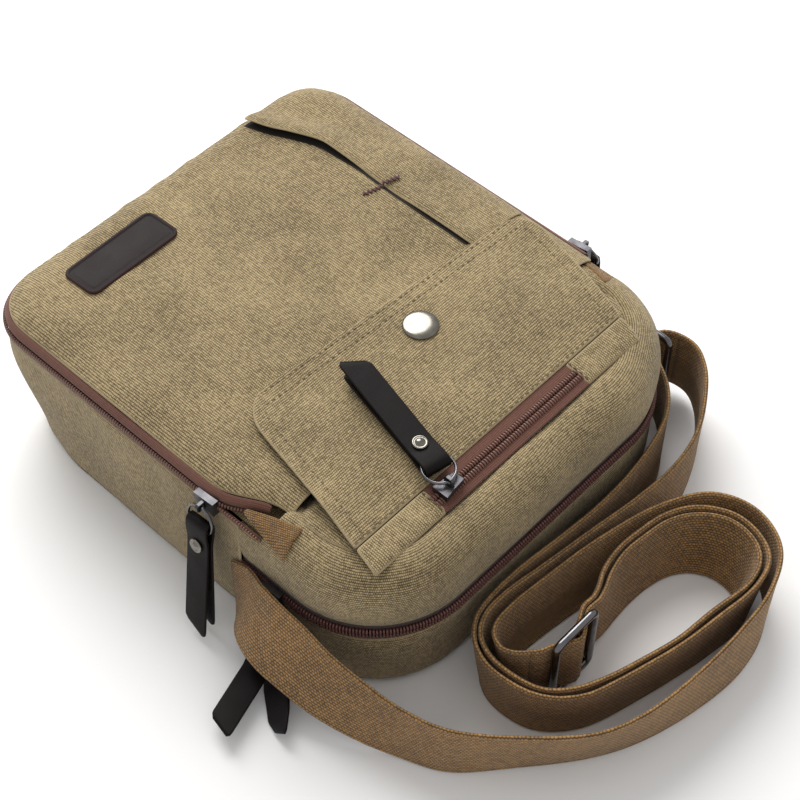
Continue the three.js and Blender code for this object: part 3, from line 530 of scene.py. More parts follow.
def ruffle(points, size, amount, seed):
    """How far soft cloth stands off its pattern at each point: low, wide waves."""
    waves = [noise.noise(Vector(point / size) + Vector((seed, 3.1, 1.7))) for point in points.reshape(-1, 3)]
    return amount * np.array(waves).reshape(points.shape[:-1])


def soften(grid, size, amount, seed):
    """Moves a grid's inside along its normals; its rim stays where it is sewn."""
    hold = 8.0
    lift = ruffle(grid, size, amount, seed) * smooth(rim_distance(*grid_lengths(grid)) / hold)
    return grid + grid_normals(grid, CENTRE) * lift[..., None]


# --- The shoulder strap ---

# The webbing's middle line, standing on its edge: x, y, z and its lean in degrees to the left
SINGLE_RUN = [
    (115.4, 42, 26.5, 0), (119, 52, 31, 14), (125.4, 63, 34.5, 24), (128.6, 77, 35.5, 28),
    (128.7, 92, 34, 27), (127.5, 110, 29.5, 21), (122.8, 130, 23.5, 13), (117.5, 147, 19.8, 5),
    (109.5, 168, 19.4, 0), (89, 191, 19.4, -8), (64.5, 212.5, 19.2, -12), (44, 222.5, 19.2, -8),
    (13, 229.5, 19.4, 0), (-18.5, 231.5, 19.3, 5), (-43, 227.5, 19.4, 1), (-63.5, 215.5, 19.4, -5),
    (-71, 196, 19.3, -9), (-65, 178.5, 19.2, -12), (-45, 165.5, 19, -12), (-8, 156, 19, -12),
    (20.5, 151.8, 19, -10), (44, 149.8, 19, -10), (56, 151.5, 19.1, -10), (61, 157.5, 19.6, -7),
    (60.6, 164, 20.8, -3), (57.7, 169.3, 22.1, 0),
]
OUTER_LAYER = [
    (57.7, 169.3, 22.1, 0), (54, 173.1, 23, 0), (50, 174.8, 23.3, 0), (44, 178.2, 23.3, 0),
    (37, 181.9, 23.3, 0), (30, 178.2, 23.3, 0), (23.5, 174.8, 23.3, 0), (16, 174.9, 22.4, 0),
    (8, 173.6, 21, 3), (-1, 171.2, 19.8, 7), (-14, 169.5, 19.1, 10), (-27, 170.5, 19.1, 10),
    (-40, 173.5, 19, 12), (-50, 180, 18.9, 14), (-56.5, 191, 18.9, 16), (-56.5, 202, 18.9, 14),
    (-51.5, 211, 19, 10), (-40, 215.5, 19.1, 7), (-15, 213.5, 19.3, 3), (5, 210, 19.2, 7),
    (24, 205, 19.2, 7), (42, 199.5, 19.2, 6), (56, 192.4, 19.2, 6), (64.5, 183, 19.2, 7),
    (67.4, 172, 19.2, 7), (67, 158, 19.1, 8), (62.3, 148.5, 19.1, 9), (53.5, 144, 19, 10),
    (40, 143.4, 19, 10), (17, 146.6, 19, 10), (-12, 150.5, 19, 10), (-41, 154, 19.1, 8),
    (-66, 154.5, 19.2, 5), (-90, 149, 19.4, 0), (-110, 139, 20.5, 0), (-124, 128, 22.5, 0),
    (-130.5, 117, 24, 0), (-129.5, 106, 25, 0),
]
INNER_LAYER = [
    (-129.5, 106, 25, 0), (-125.5, 99.8, 25.3, 0), (-117.5, 97.8, 25.3, 0), (-113.2, 102.5, 25, 0),
    (-110.5, 108.5, 24, 0), (-102.5, 121, 22.5, 0), (-90, 131, 21, 0), (-75, 137.5, 19.8, -4),
    (-51, 142.3, 19.3, -7), (-25, 143.2, 19.2, -7), (0, 141.4, 19.2, -7), (26, 138.8, 19.2, -7),
    (44, 138.8, 19.2, -7), (57, 141, 19.2, -7), (66.2, 147.5, 19.2, -7), (71.4, 157, 19.2, -6),
    (72.4, 168, 19.3, -5), (70, 181, 19.3, -5), (63.8, 191, 19.3, -6), (53.6, 199.2, 19.3, -6),
    (43, 203.6, 19.3, -5), (26, 208.7, 19.3, -5), (6, 213.8, 19.3, -5), (-14, 217.4, 19.3, -3),
    (-40, 219.8, 19.2, -4), (-54.5, 214.8, 19.1, -8), (-60.6, 203.5, 19, -12), (-60.9, 190.3, 19, -14),
    (-53.3, 177.2, 19.1, -13), (-41.5, 169.8, 19.1, -11), (-27.5, 166.6, 19.2, -9),
    (-13.5, 165.6, 19.2, -9), (0, 167.1, 19.8, -6), (9, 170, 21.3, -2), (16, 171.8, 22.4, 0),
    (23.5, 172, 23.3, 0), (28.5, 174.2, 23.3, 0), (33.4, 176.6, 23.3, 0),
]


def webbing_section(width, thickness):
    """Points round a strip of webbing, as (across, out): flat faces and thick woven edges."""
    half, deep = width / 2, thickness / 2
    edge = [(0, 1.0), (half - 4, 1.0), (half - 2.2, 0.86), (half - 1.2, 1.12), (half - 0.3, 0.8), (half, 0.0)]
    upper = [(a, n * deep) for a, n in edge]
    right = upper + [(a, -n) for a, n in upper[-2::-1]]
    left = [(-a, n) for a, n in right[-2:0:-1]]
    return np.array(right + left)


def ribbon(name, line, acrosses, outs, width, thickness, begin=0.0, **keys):
    """A strip of webbing along a line, with its width and its face's direction at each point."""
    section = webbing_section(width, thickness)
    acrosses, outs = unit(acrosses), unit(outs)
    rings = line[:, None] + acrosses[:, None] * section[None, :, :1] + outs[:, None] * section[None, :, 1:]
    travel = begin + travel_along(line)
    uvs = np.stack(np.broadcast_arrays(travel[:, None], travel_along(section)[None]), axis=2)
    flipped = np.dot(np.cross(acrosses[0], outs[0]), line[1] - line[0]) > 0
    if flipped:
        rings, uvs = rings[:, ::-1], uvs[:, ::-1]
    return tube(name, rings, "webbing", uvs=uvs.reshape(-1, 2), **keys)


def strap_part(name, whole, layer, node):
    """One declared stretch of the strap, cut from the smooth line of the whole."""
    begin, end = (np.abs(whole[:, :3] - point[:3]).sum(axis=1).argmin() for point in (layer[0], layer[-1]))
    line, lean = whole[begin:end + 1, :3], np.radians(whole[begin:end + 1, 3:])
    tangent = unit(np.gradient(line, axis=0) * np.array([1.0, 1.0, 0.0]))
    left = np.stack([-tangent[:, 1], tangent[:, 0], 0 * tangent[:, 0]], axis=1)
    up = np.array([0.0, 0.0, 1.0])
    acrosses = left * np.sin(lean) + up * np.cos(lean)
    outs = left * np.cos(lean) - up * np.sin(lean)
    piece = ribbon(name, line, acrosses, outs, STRAP_WIDTH, STRAP_THICKNESS, begin * STRAP_STEP,
                   nodes=node)


def add_strap():
    whole = curve_through(SINGLE_RUN + OUTER_LAYER[1:] + INNER_LAYER[1:], STRAP_STEP)
    strap_part("strap_run", whole, SINGLE_RUN, "strap_single_run")
    strap_part("strap_outer", whole, OUTER_LAYER, "strap_outer_layer")
    strap_part("strap_inner", whole, INNER_LAYER, "strap_inner_layer")


# --- The bag's shell ---

# A path is rows of x, y and the outward direction there; a profile is (outward, up) pairs.
# The foot is where the side and rear walls turn in under the bag.
FOOT = [(-3.2, 0.6), (-1.2, 1.3), (0.2, 3.2)]


def arc(centre, radius, start, stop, spacing=3.0):
    """The path along an arc, angles in degrees."""
    count = max(3, int(abs(math.radians(stop - start)) * radius / spacing))
    angles = np.radians(np.linspace(start, stop, count))
    normals = np.stack([np.cos(angles), np.sin(angles)], axis=1)
    return np.hstack([np.array(centre) + radius * normals, normals])


def line_between(start, stop, normal, spacing=3.5):
    """The path along a straight line, without its two ends."""
    start, stop = np.array(start, dtype=float), np.array(stop, dtype=float)
    count = max(2, int(np.linalg.norm(stop - start) / spacing))
    points = start + (stop - start) * np.linspace(0, 1, count + 1)[1:-1, None]
    return np.hstack([points, np.tile(normal, (len(points), 1))])


def side_path(left_y, right_y):
    """From the left side, under the bottom, to the right side."""
    cx, cy = BOTTOM_CORNER
    return np.vstack([
        [[-HALF_WIDTH, left_y, -1, 0]],
        line_between((-HALF_WIDTH, left_y), (-HALF_WIDTH, cy), (-1, 0)),
        arc((-cx, cy), BOTTOM_RADIUS, 180, 270),
        line_between((-cx, -HALF_HEIGHT), (cx, -HALF_HEIGHT), (0, -1)),
        arc((cx, cy), BOTTOM_RADIUS, 270, 360),
        line_between((HALF_WIDTH, cy), (HALF_WIDTH, right_y), (1, 0)),
        [[HALF_WIDTH, right_y, 1, 0]],
    ])


def top_path(start_y):
    """From the right side, over the top, to the left side."""
    cx, cy = TOP_CORNER
    return np.vstack([
        [[HALF_WIDTH, start_y, 1, 0]],
        line_between((HALF_WIDTH, start_y), (HALF_WIDTH, cy), (1, 0)),
        arc((cx, cy), TOP_RADIUS, 0, 90),
        line_between((cx, HALF_HEIGHT), (-cx, HALF_HEIGHT), (0, 1)),
        arc((-cx, cy), TOP_RADIUS, 90, 180),
        line_between((-HALF_WIDTH, cy), (-HALF_WIDTH, start_y), (-1, 0)),
        [[-HALF_WIDTH, start_y, -1, 0]],
    ])


def beside(path, offset, z):
    """The line at a height z that keeps an offset outwards from a path."""
    return np.column_stack([path[:, :2] + path[:, 2:] * offset, np.full(len(path), z)])


def loft(path, profile, spacing=3.5):
    """A wall of points that follows [offset, z] pairs up from the path."""
    return np.array([beside(path, offset, z) for offset, z in curve_through(profile, spacing)])


def slumped(grid):
    """The bag's lower end draws in towards its back, where nothing fills it."""
    draw = smooth((-75 - grid[..., 1]) / 45) * smooth(1.1 - grid[..., 2] / 66) ** 1.5
    scale = 1 - 0.055 * draw
    return np.stack([grid[..., 0] * scale, grid[..., 1] * scale, grid[..., 2]], axis=-1)


def tucked(grid):
    """A wall whose first and last columns lie under the cloth they are sewn to."""
    overlap = 0.9
    grid[:, 0, 0] -= overlap
    grid[:, -1, 0] += overlap
    return grid


def add_walls():
    """The canvas round the bag: sides and bottom, then the top behind and before the main zip."""
    side = FOOT + [(0.4, 5.0), (1.2, 16), (1.4, 34), (1.0, 52), (0.5, 64),
                   (0.2, GUSSET_TOP - 4), (0.3, GUSSET_TOP - 2.4), (-0.3, GUSSET_TOP - 1.0)]
    grid = soften(slumped(loft(side_path(SEAM_Y + 1.0, SEAM_Y + 1.0), side)), 42, 2.4, 1.0)
    sheet("side_cloth", grid, "canvas", 1.4, nodes="side_gusset")
    rear = FOOT + [(0.4, 5), (1.0, 14), (1.2, 26), (0.4, REAR_TOP - 4.7),
                   (0.7, REAR_TOP - 2.8), (-0.3, REAR_TOP - 1.4)]
    grid = tucked(soften(loft(top_path(SEAM_Y - 1.2), rear), 36, 2.2, 4.0))
    sheet("rear_top_cloth", grid, "canvas", 1.4, nodes="rear_top_gusset")
    front = [(-0.2, FRONT_LOW + 1.2), (0.9, FRONT_LOW + 2.6), (0.5, FRONT_LOW + 4.6), (1.5, FRONT_LOW + 10),
             (1.2, 66), (0.2, 72.5), (-3.2, 79.5), (-9, 83.6), (-13.5, 85.2), (-16.6, 84.8),
             (-17.6, 83.0), (-19.5, 82.1), (-23, 81.8)]
    grid = loft(top_path(SEAM_Y - 1.2), front)
    ceiling = GUSSET_TOP - 0.6 + 30 * smooth((grid[..., 1] - 58) / 5)
    above = np.maximum(grid[..., 2] - ceiling, 0.0)
    grid[..., 2] -= 0.98 * above
    grid = tucked(soften(grid, 34, 2.2, 6.0))
    sheet("front_top_cloth", grid, "canvas", 1.3, nodes="front_top_gusset flap_seam_strip")


def add_facings():
    """The canvas between the top's turned edge and the pocket's wall, under each end of the flap."""
    cx, cy = TOP_CORNER
    radius = TOP_RADIUS - 15.5
    for side, sign in (("right", 1), ("left", -1)):
        rows = []
        for y in np.linspace(60, 111, 24):
            reach = cx + math.sqrt(radius ** 2 - max(y - cy, 0.0) ** 2)
            z = min(84.3, flap_bottom(y) - 0.8) - 7 * smooth((69 - y) / 9)
            rows.append([(sign * x, y, z) for x in np.linspace(58, reach, 14)])
        grid = np.array(rows)
        sheet(f"shoulder_facing_{side}", grid, "canvas", 0.9, uv=grid[..., 1::-1], levels=0)


def bag_layer(name, inset, z, look, node, thickness, puff=0.0):
    """A layer of cloth across the whole bag, from its outline inwards."""
    outline = np.vstack([side_path(SEAM_Y, SEAM_Y), top_path(SEAM_Y)[1:-1]])[:, :2]
    outline = outline * (1 - inset / HALF_WIDTH)
    grid = np.array([
        np.column_stack([outline * share, np.full(len(outline), z + puff * (1 - share))])
        for share in (1.0, 0.985, 0.93, 0.8, 0.6, 0.4, 0.2, 0.02)
    ])
    grid = slumped(np.concatenate([grid, grid[:, :1]], axis=1))
    facing = np.array([0, 0, z + 500.0 if z < CENTRE[2] else z - 500.0])
    sheet(name, grid, look, thickness, uv=grid[..., :2], centre=facing, nodes=node, levels=0)


def add_layers():
    bag_layer("back_cloth", 1.4, 0.15, "canvas_back", "back_panel", 1.4, 0.25)
    bag_layer("pocket_back", 3.2, 75.0, "canvas_back", "front_wall", 1.0)
    bag_layer("back_lining_cloth", 5.5, 3.4, "lining", "back_lining", 0.6)
    bag_layer("front_lining_cloth", 6.5, 72.4, "lining", "front_lining", 0.6)
    low, high = box_mm("inner_pocket")
    xs, ys = np.linspace(low[0], high[0], 14), np.linspace(low[1], high[1], 12)
    grid = np.array([[(x, y, high[2] - 0.2) for x in xs] for y in ys])
    sheet("inner_pocket_cloth", grid, "lining", 0.8, uv=grid[..., :2], centre=(0, 0, -99),
          nodes="inner_pocket")


# --- Zips ---


def zip_row(name, line, outs, sides, look, size, node, body="bag"):
    """A row of teeth: each is a small bent nylon loop that reaches over the zip's middle."""
    travel = travel_along(line)
    at = np.arange(TOOTH_PITCH / 2, travel[-1], TOOTH_PITCH)
    place, out, side = (sampled(values, travel, at) for values in (line, outs, sides))
    ahead = unit(np.gradient(place, axis=0))
    profile = [(-1.0, -0.3), (-0.6, 0.55), (0.4, 0.75), (1.0, 0.2), (0.6, -0.5), (-0.6, -0.7)]
    slices = ((-0.56, 0.7), (-0.28, 1.0), (0.28, 1.0), (0.56, 0.7))
    points, faces = [], []
    for p, o, s, t in zip(place, unit(out), unit(side), ahead):
        faces += skin(len(points), len(slices), len(profile))
        for shift, scale in slices:
            points += [p + t * shift + (s * a + o * b) * scale * size for a, b in profile]
    add_piece(name, points, faces, look, body=body, nodes=node)


def wall_zip_row(name, path, z, toward, look, size, node):
    """Teeth that run round a wall and reach up or down, toward +1 or -1."""
    line = beside(path, 0.5, z)
    outs = beside(path, 1.0, 0.0) - beside(path, 0.0, 0.0)
    zip_row(name, line, outs, up_vectors(line, toward), look, size, node)


def add_main_zip():
    path = top_path(SEAM_Y + 0.3)
    middle = (REAR_TOP + FRONT_LOW) / 2
    for part, sign in (("rear", -1), ("front", 1)):
        wall_zip_row(f"main_{part}_teeth", path, middle + sign * 1.7, -sign, "main_coil", 1.6,
                     f"main_zip_{part}_coil")
        low, high = sorted([middle + sign * 1.1, middle + sign * 6.2])
        grid = loft(path, [(-0.7, low), (-0.6, high)], 1.2)
        sheet(f"main_{part}_tape", grid, "main_tape", 0.7, nodes=f"main_zip_{part}_tape")


def panel_path():
    """The front panel's zip tape: past the right slider the zip is open and hangs slack."""
    tail = []
    for y, inward in ((31, 0.6), (35, 1.4), (39, 3.0), (43, 5.2), (47, 7.4), (51, 9.6), (55, 11.0)):
        tail.append([HALF_WIDTH - inward, y, 0.95, 0.3])
    return np.vstack([side_path(box_mm("side_zip_panel_coil")[1][1], 27), tail])


def add_side_zip():
    end = box_mm("side_zip_gusset_coil")[1][1]
    for part, path, sign, bottom, top, swell, lean in (
        ("gusset", side_path(end, end), -1, GUSSET_TOP - 2.0, 75.9, 0.0, 0.0),
        ("panel", panel_path(), 1, 78.0, 82.9, 0.5, -2.3),
    ):
        coil = f"side_zip_{part}_coil"
        z = sum(corner[2] for corner in box_mm(coil)) / 2
        wall_zip_row(f"side_{part}_teeth", path, z, -sign, "coil", 1.15, coil)
        profile = [(-0.6, bottom), (swell - 0.5, (bottom + top) / 2), (-0.6 + lean, top)]
        grid = loft(path, profile, 1.4)
        sheet(f"side_{part}_tape", grid, "tape", 0.7, nodes=f"side_zip_{part}_tape")


# --- Sewing ---


def stitches(name, line, outs, body="bag", length=2.4):
    """A row of thread stitches along a line, each sunk into the cloth at both ends."""
    travel = travel_along(line)
    profile = [(0.0, 0.35, -0.4), (0.18, 0.85, 0.0), (0.5, 1.0, 0.12), (0.82, 0.85, 0.0), (1.0, 0.35, -0.4)]
    points, faces = [], []
    for start in np.arange(0.4, travel[-1] - length, length + STITCH_GAP):
        faces += skin(len(points), len(profile), 6)
        for share, scale, lift in profile:
            at = start + share * length
            place, out = sampled(line, travel, at), unit(sampled(outs, travel, at))
            across = unit(np.cross(out, sampled(line, travel, at + 0.1) - place))
            wide, high = STITCH_WIDTH / 2 * scale, STITCH_WIDTH * 0.4 * scale
            points += [place + across * c * wide + out * (s * high + lift) for c, s in circle(6)]
    add_piece(name, points, faces, "thread", body=body)


# --- The front pocket ---


def panel_left(y):
    drop = np.clip(PANEL_CORNER_Y - y, 0, PANEL_RADIUS)
    return -PANEL_EDGE + PANEL_RADIUS - math.sqrt(PANEL_RADIUS ** 2 - drop ** 2)


def panel_right(y):
    """The panel's right edge, which falls slack past the open end of its zip."""
    return PANEL_EDGE - 12.5 * smooth((y - 26) / 34)


def panel_outline():
    """The front panel's sewn edge, from its mouth on the left round to its mouth on the right."""
    corner_x = PANEL_EDGE - PANEL_RADIUS
    down = [(-PANEL_EDGE, y) for y in np.arange(MOUTH_Y, PANEL_CORNER_Y, -3.0)]
    left = arc((-corner_x, PANEL_CORNER_Y), PANEL_RADIUS, 180, 270)[:, :2]
    floor = [(x, PANEL_BOTTOM) for x in np.arange(-corner_x, corner_x, 3.0)]
    right = arc((corner_x, PANEL_CORNER_Y), PANEL_RADIUS, 270, 360)[:, :2]
    up = [(panel_right(y), y) for y in np.arange(PANEL_CORNER_Y + 3, MOUTH_Y + 1, 3.0)]
    return np.vstack([down, left, floor, right, up])


OUTLINE = panel_outline()


def flap_low_at(x):
    """The height of the flap's slanted lower edge."""
    (left_x, left_y), (right_x, right_y) = FLAP_CORNERS[:2]
    return right_y + (right_x - x) * (left_y - right_y) / (right_x - left_x)


def face_height(x, y):
    """Height of the front panel's cloth: it rounds up from its seam and is a little slack inside."""
    points = np.stack([x, y, 0 * x], axis=-1)
    flat = points.reshape(-1, 3)[:, :2]
    depth = np.array([np.linalg.norm(OUTLINE - p, axis=1).min() for p in flat]).reshape(x.shape)
    sunk = 5.4 * (1 - np.clip(depth / 17, 0, 1)) ** 2.6
    slack = ruffle(points, 47, 2.4, 11.0) + ruffle(points, 21, 0.9, 5.0) - 0.5
    under_flap = smooth((y - flap_low_at(x) + 14) / 14)
    return FRONT_Z - sunk + slack * smooth(depth / 18) * (1 - under_flap) - 0.4 * under_flap


def on_face(points, lift=0.0):
    """The given [x, y] points set on the front panel's cloth."""
    x, y = np.moveaxis(np.asarray(points, dtype=float), -1, 0)
    return np.stack([x, y, face_height(x, y) + lift], axis=-1)


def add_front_panel():
    even = np.linspace(0, 1, 64)
    shares = even - 0.35 * np.sin(2 * np.pi * even) / (2 * np.pi)
    corner = [PANEL_CORNER_Y - PANEL_RADIUS * math.cos(a) for a in np.linspace(0, math.pi / 2, 12)]
    rows = []
    for y in corner + list(np.linspace(PANEL_CORNER_Y, MOUTH_Y, 58)[1:]):
        left, right = panel_left(y), panel_right(y) - (panel_left(y) + PANEL_EDGE)
        rows.append([(left + (right - left) * share, y) for share in shares])
    grid = on_face(rows)
    sheet("front_cloth", grid, "canvas", 1.3, uv=grid[..., 1::-1], nodes="front_panel")


def slit_at(y):
    """The opening edge of the slash pocket's panel."""
    return SLIT_X + 14 * smooth((-80 - y) / 46)


def add_slash_pocket():
    """The slash pocket's panel, a near-black sheet of painted shade under its gaping slit, and the stitches
    beside it.
    """
    rows = []
    for y in np.linspace(PANEL_BOTTOM + 2.2, 20, 64):
        left = panel_left(y) + 1.0
        rows.append([(left + (slit_at(y) - left) * share, y) for share in np.linspace(0, 1, 14)])
    grid = on_face(rows, 1.2)
    x, y = grid[..., 0], grid[..., 1]
    to_edge = slit_at(y) - x
    gape = smooth((-44 - y) / 40) + 0.35 * smooth((y + 38) / 30)
    grid[..., 2] += 4.2 * gape * smooth((18 - to_edge) / 18) - 0.9 * smooth((2.0 - to_edge) / 2.0)
    sheet("slash_pocket_cloth", grid, "canvas", 1.1, uv=grid[..., 1::-1], nodes="slash_pocket_panel")
    # A near-black sheet laid under the gaping slit: painted shade for the shadow inside the pocket
    dark = [[(slit_at(y) - 9 + 10.4 * share, y) for share in (0, 0.4, 0.8, 1)]
            for y in np.linspace(-126, 16, 60)]
    sheet("slash_pocket_painted_shade", on_face(dark, 0.12), "opening", 0.3)
    seam = [(slit_at(y) + 6.5 - 3 * smooth((-100 - y) / 24), y) for y in np.linspace(-124, 12, 20)]
    line = on_face(curve_through(seam, 1.5))
    stitches("slash_pocket_stitches", line, up_vectors(line))


def add_bartack():
    """A thick zigzag of thread across the slit."""
    turn = math.radians(-17)
    ahead, aside = np.array([math.cos(turn), math.sin(turn)]), np.array([-math.sin(turn), math.cos(turn)])
    middle = np.array([SLIT_X + 1.0, -41.0])
    zigzag = [middle + ahead * along + aside * (1.2 if k % 2 else -1.2)
              for k, along in enumerate(np.linspace(-10.5, 10.5, 20))]
    points = []
    for a, b in zip(zigzag, zigzag[1:]):
        points += [a + (b - a) * share for share in (0, 0.25, 0.5, 0.75)]
    line = on_face(points, 0.3)
    line[:, 2] += 1.9 * smooth((SLIT_X + 1.5 - line[:, 0]) / 2)
    across = unit(np.cross(up_vectors(line), np.gradient(line, axis=0)))
    rings = [[place + side * 0.5 * c + np.array([0, 0, 0.55 * s]) for c, s in circle(6)]
             for place, side in zip(line, across)]
    tube("bartack", rings, "bartack", nodes="slash_pocket_bartack")


def add_label():
    """The leather label: raised edge, pressed groove and a flat middle."""
    turn = math.radians(2)
    spin = np.array([[math.cos(turn), math.sin(turn)], [-math.sin(turn), math.cos(turn)]])
    rings, rim = [], []
    steps = [(0.3, 0.2), (0.0, 0.7), (0.15, 1.25), (0.7, 1.6), (1.5, 1.55), (2.0, 1.25), (2.6, 1.05),
             (3.3, 1.25), (4.4, 1.35), (7.5, 1.4), (10.8, 1.45)]
    for inset, lift in steps:
        flat = rounded_rectangle(58 - 2 * inset, 23 - 2 * inset, max(5 - inset, 0.5)) @ spin
        rings.append(on_face(flat + np.array([47, -102]), lift))
        rim += [inset] * len(flat)
    tube("leather_label_mesh", rings, "label", nodes="leather_label", rim=rim)


def shoulder_height(x):
    """Height of the top's turned edge, at a distance x from the bag's middle line."""
    return np.interp(HALF_WIDTH - x, [-1, 0.2, 3.2, 9, 13.5, 17], [72, 74, 79.5, 83.6, 85.2, 85.3])


def add_tabs():
    """Folded strips of webbing that carry on from the ends of the side zip."""
    length = 28.0
    for side, sign, start in (("right", 1, 46.0), ("left", -1, 51.5)):
        grid, uv = [], []
        for share in np.linspace(0, 1, 12):
            inner, outer = 107.5 - 8 * share, 109.5 + 3.8 * share
            row = np.linspace(inner, outer, 8)
            grid.append([(sign * x, start + length * share, shoulder_height(x) + 1.1) for x in row])
            uv.append([(1.6 * length * share, 1.9 * (x - inner)) for x in row])
        sheet(f"tab_{side}", grid, "webbing", 1.4, uv=uv, nodes=f"webbing_tab_{side}")


def add_snap():
    """The cap and the ring socket on the flap, and the stud on the pocket."""
    dome = [(2.0, -3.4), (2.0, -1.9), (8.6, -1.9), (8.75, -1.55), (8.6, -1.2), (8.0, -0.85), (7.0, -0.6),
            (5.4, -0.3), (3.4, -0.1), (1.4, -0.01), (0.02, 0.0)]
    top = box_mm("snap_cap")[1][2]
    lathe("snap_dome", dome, (*SNAP, top), "nickel", "flap", nodes="snap_cap")
    low = box_mm("snap_socket")[0][2]
    socket = [(5.7, 0.0), (6.0, 0.3), (6.0, 1.1), (3.0, 1.1), (3.0, 0.3), (3.3, 0.0)]
    rings = [[(SNAP[0] + r * c, SNAP[1] + r * s, low + h) for r, h in socket] for c, s in circle(36)]
    tube("snap_ring", rings, "nickel", closed=True, body="flap", nodes="snap_socket")
    stud = [(0.02, 0.0), (4.6, 0.0), (5.0, 0.3), (5.0, 0.9), (1.6, 1.2), (1.6, 3.7), (2.5, 4.1), (2.5, 4.7),
            (1.8, 5.1), (0.02, 5.2)]
    foot = box_mm("snap_stud")[0][2]
    lathe("snap_post", stud, (*SNAP, foot), "nickel", nodes="snap_stud")


# --- The flap ---


def flap_bottom(y):
    """Height of the flap's underside, which falls away over the shoulder."""
    return FLAP_LOW_Z - 5.2 * smooth((y - 67) / 43)


def flap_plan(u, v, inset=0.0):
    """A point of the flap's outline: u across it and v from its lower edge to its hinge."""
    low_left, low_right, high_right, high_left = FLAP_CORNERS
    left = low_left + (high_left - low_left) * v + np.array([inset, 0])
    right = low_right + (high_right - low_right) * v - np.array([inset, 0])
    drop = max(FLAP_RADIUS - v * (HINGE_Y - FLAP_LOW_Y), 0)
    drawn = (FLAP_RADIUS - math.sqrt(FLAP_RADIUS ** 2 - drop ** 2)) / (right[0] - left[0])
    return left + (right - left) * (drawn + u * (1 - 2 * drawn))


def flap_v(y):
    """The row of the flap whose middle lies at a height y."""
    return (y - FLAP_LOW_Y) / (HINGE_Y - FLAP_LOW_Y)


def flap_skin(plan, lift=FLAP_TOP, slack=1.0):
    """The given [x, y] points set a lift above the flap's underside."""
    x, y = np.moveaxis(np.asarray(plan, dtype=float), -1, 0)
    height = flap_bottom(y) + lift - 2.2 * smooth((y - 109) / 5)
    points = np.stack([x, y, height], axis=-1)
    off_edge = np.minimum(y - flap_low_at(x), 95 - np.abs(x + 5))
    off_snap = smooth(np.hypot(x - SNAP[0], y - SNAP[1]) / 14 - 0.6)
    calm = smooth(off_edge / 16) * smooth((98 - y) / 20) * off_snap
    points[..., 2] += slack * calm * (ruffle(points, 40, 1.5, 2.0) + ruffle(points, 19, 0.6, 8.0))
    return points


def add_flap_cloth():
    """The flap's canvas below its zip and at both ends of it, and its lining."""
    corner = 0.18
    levels = corner * (1 - np.cos(np.linspace(0, math.pi / 2, 9)))
    levels = np.concatenate([levels, np.linspace(corner, flap_v(WINDOW_LOW), 36)[1:]])
    columns = np.concatenate([[0, 0.008, 0.02], np.linspace(0.035, 0.965, 60), [0.98, 0.992, 1]])
    plan = np.array([[flap_plan(u, v) for u in columns] for v in levels])
    plan[-1, :, 1] = WINDOW_LOW
    plan[..., 1] = np.minimum(plan[..., 1], WINDOW_LOW)
    sheet("flap_cloth", flap_skin(plan), "canvas", 1.7, uv=plan, body="flap", nodes="flap_shell")
    ends = np.linspace(WINDOW_LOW + 0.1, HINGE_Y, 7)
    for side, x, u in (("left", WINDOW_LEFT, 0.0), ("right", WINDOW_RIGHT, 1.0)):
        plan = np.array([np.linspace(flap_plan(u, flap_v(y)), (x, y), 18) for y in ends])
        grid = flap_skin(plan, FLAP_TOP - 0.25)
        grid[..., 1] = ends[:, None]
        sheet(f"flap_end_{side}", grid, "canvas", 1.5, uv=grid[..., 1::-1], body="flap")
    levels, columns = np.linspace(0.015, 0.965, 34), np.linspace(0, 1, 40)
    plan = np.array([[flap_plan(u, v, 1.5) for u in columns] for v in levels])
    sheet("flap_lining_cloth", flap_skin(plan, 1.45, 0.0), "lining", 1.3, uv=plan, body="flap",
          nodes="flap_lining", levels=0)


def flap_stitches(name, plan, length=2.4):
    line = flap_skin(curve_through(plan, 1.5), FLAP_TOP + 0.1)
    stitches(name, line, up_vectors(line), body="flap", length=length)


def add_flap_stitches():
    """Two rows along the flap's hem, one down each side and three round its zip."""
    for number, depth in enumerate((2.4, 8.2)):
        share = depth / 190
        hem = [flap_plan(u, depth / (HINGE_Y - FLAP_LOW_Y)) for u in np.linspace(share, 1 - share, 30)]
        flap_stitches(f"flap_hem_stitches_{number}", hem)
    for side, u in (("left", 7.2 / 190), ("right", 1 - 7.2 / 190)):
        rows = np.linspace(0.1, flap_v(WINDOW_LOW), 12)
        flap_stitches(f"flap_side_stitches_{side}", [flap_plan(u, v) for v in rows])
    flap_stitches("flap_fold_stitches", [(x, WINDOW_LOW - 1.6) for x in np.linspace(-84, 92, 12)])
    for side, x in (("left", WINDOW_LEFT - 1.8), ("right", WINDOW_RIGHT + 1.8)):
        end = [(x, y) for y in np.linspace(WINDOW_LOW, WINDOW_HIGH, 4)]
        flap_stitches(f"flap_end_stitches_{side}", end, 2.2)


def add_flap_zip():
    xs = np.linspace(WINDOW_LEFT - 1.2, WINDOW_RIGHT + 1.2, 40)
    for part, sign, low, high in (
        ("lower", -1, WINDOW_LOW - 1.5, FLAP_ZIP_Y - 1.0),
        ("upper", 1, FLAP_ZIP_Y + 1.0, HINGE_Y),
    ):
        grid = np.array([[(x, y, flap_bottom(y) + 2.75 - 0.9 * smooth((y - 109) / 5)) for x in xs]
                         for y in np.linspace(low, high, 5)])
        sheet(f"flap_{part}_tape", grid, "tape", 0.7, uv=grid[..., :2], body="flap",
              nodes=f"flap_zip_{part}_tape")
        y = FLAP_ZIP_Y + 1.75 * sign
        line = np.array([(x, y, flap_bottom(y) + 3.0) for x in xs])
        sides = np.tile([0.0, -sign, 0.0], (len(xs), 1))
        zip_row(f"flap_{part}_teeth", line, up_vectors(line), sides, "coil", 1.85,
                f"flap_zip_{part}_coil", "flap")


# --- Sliders, pulls and rings ---

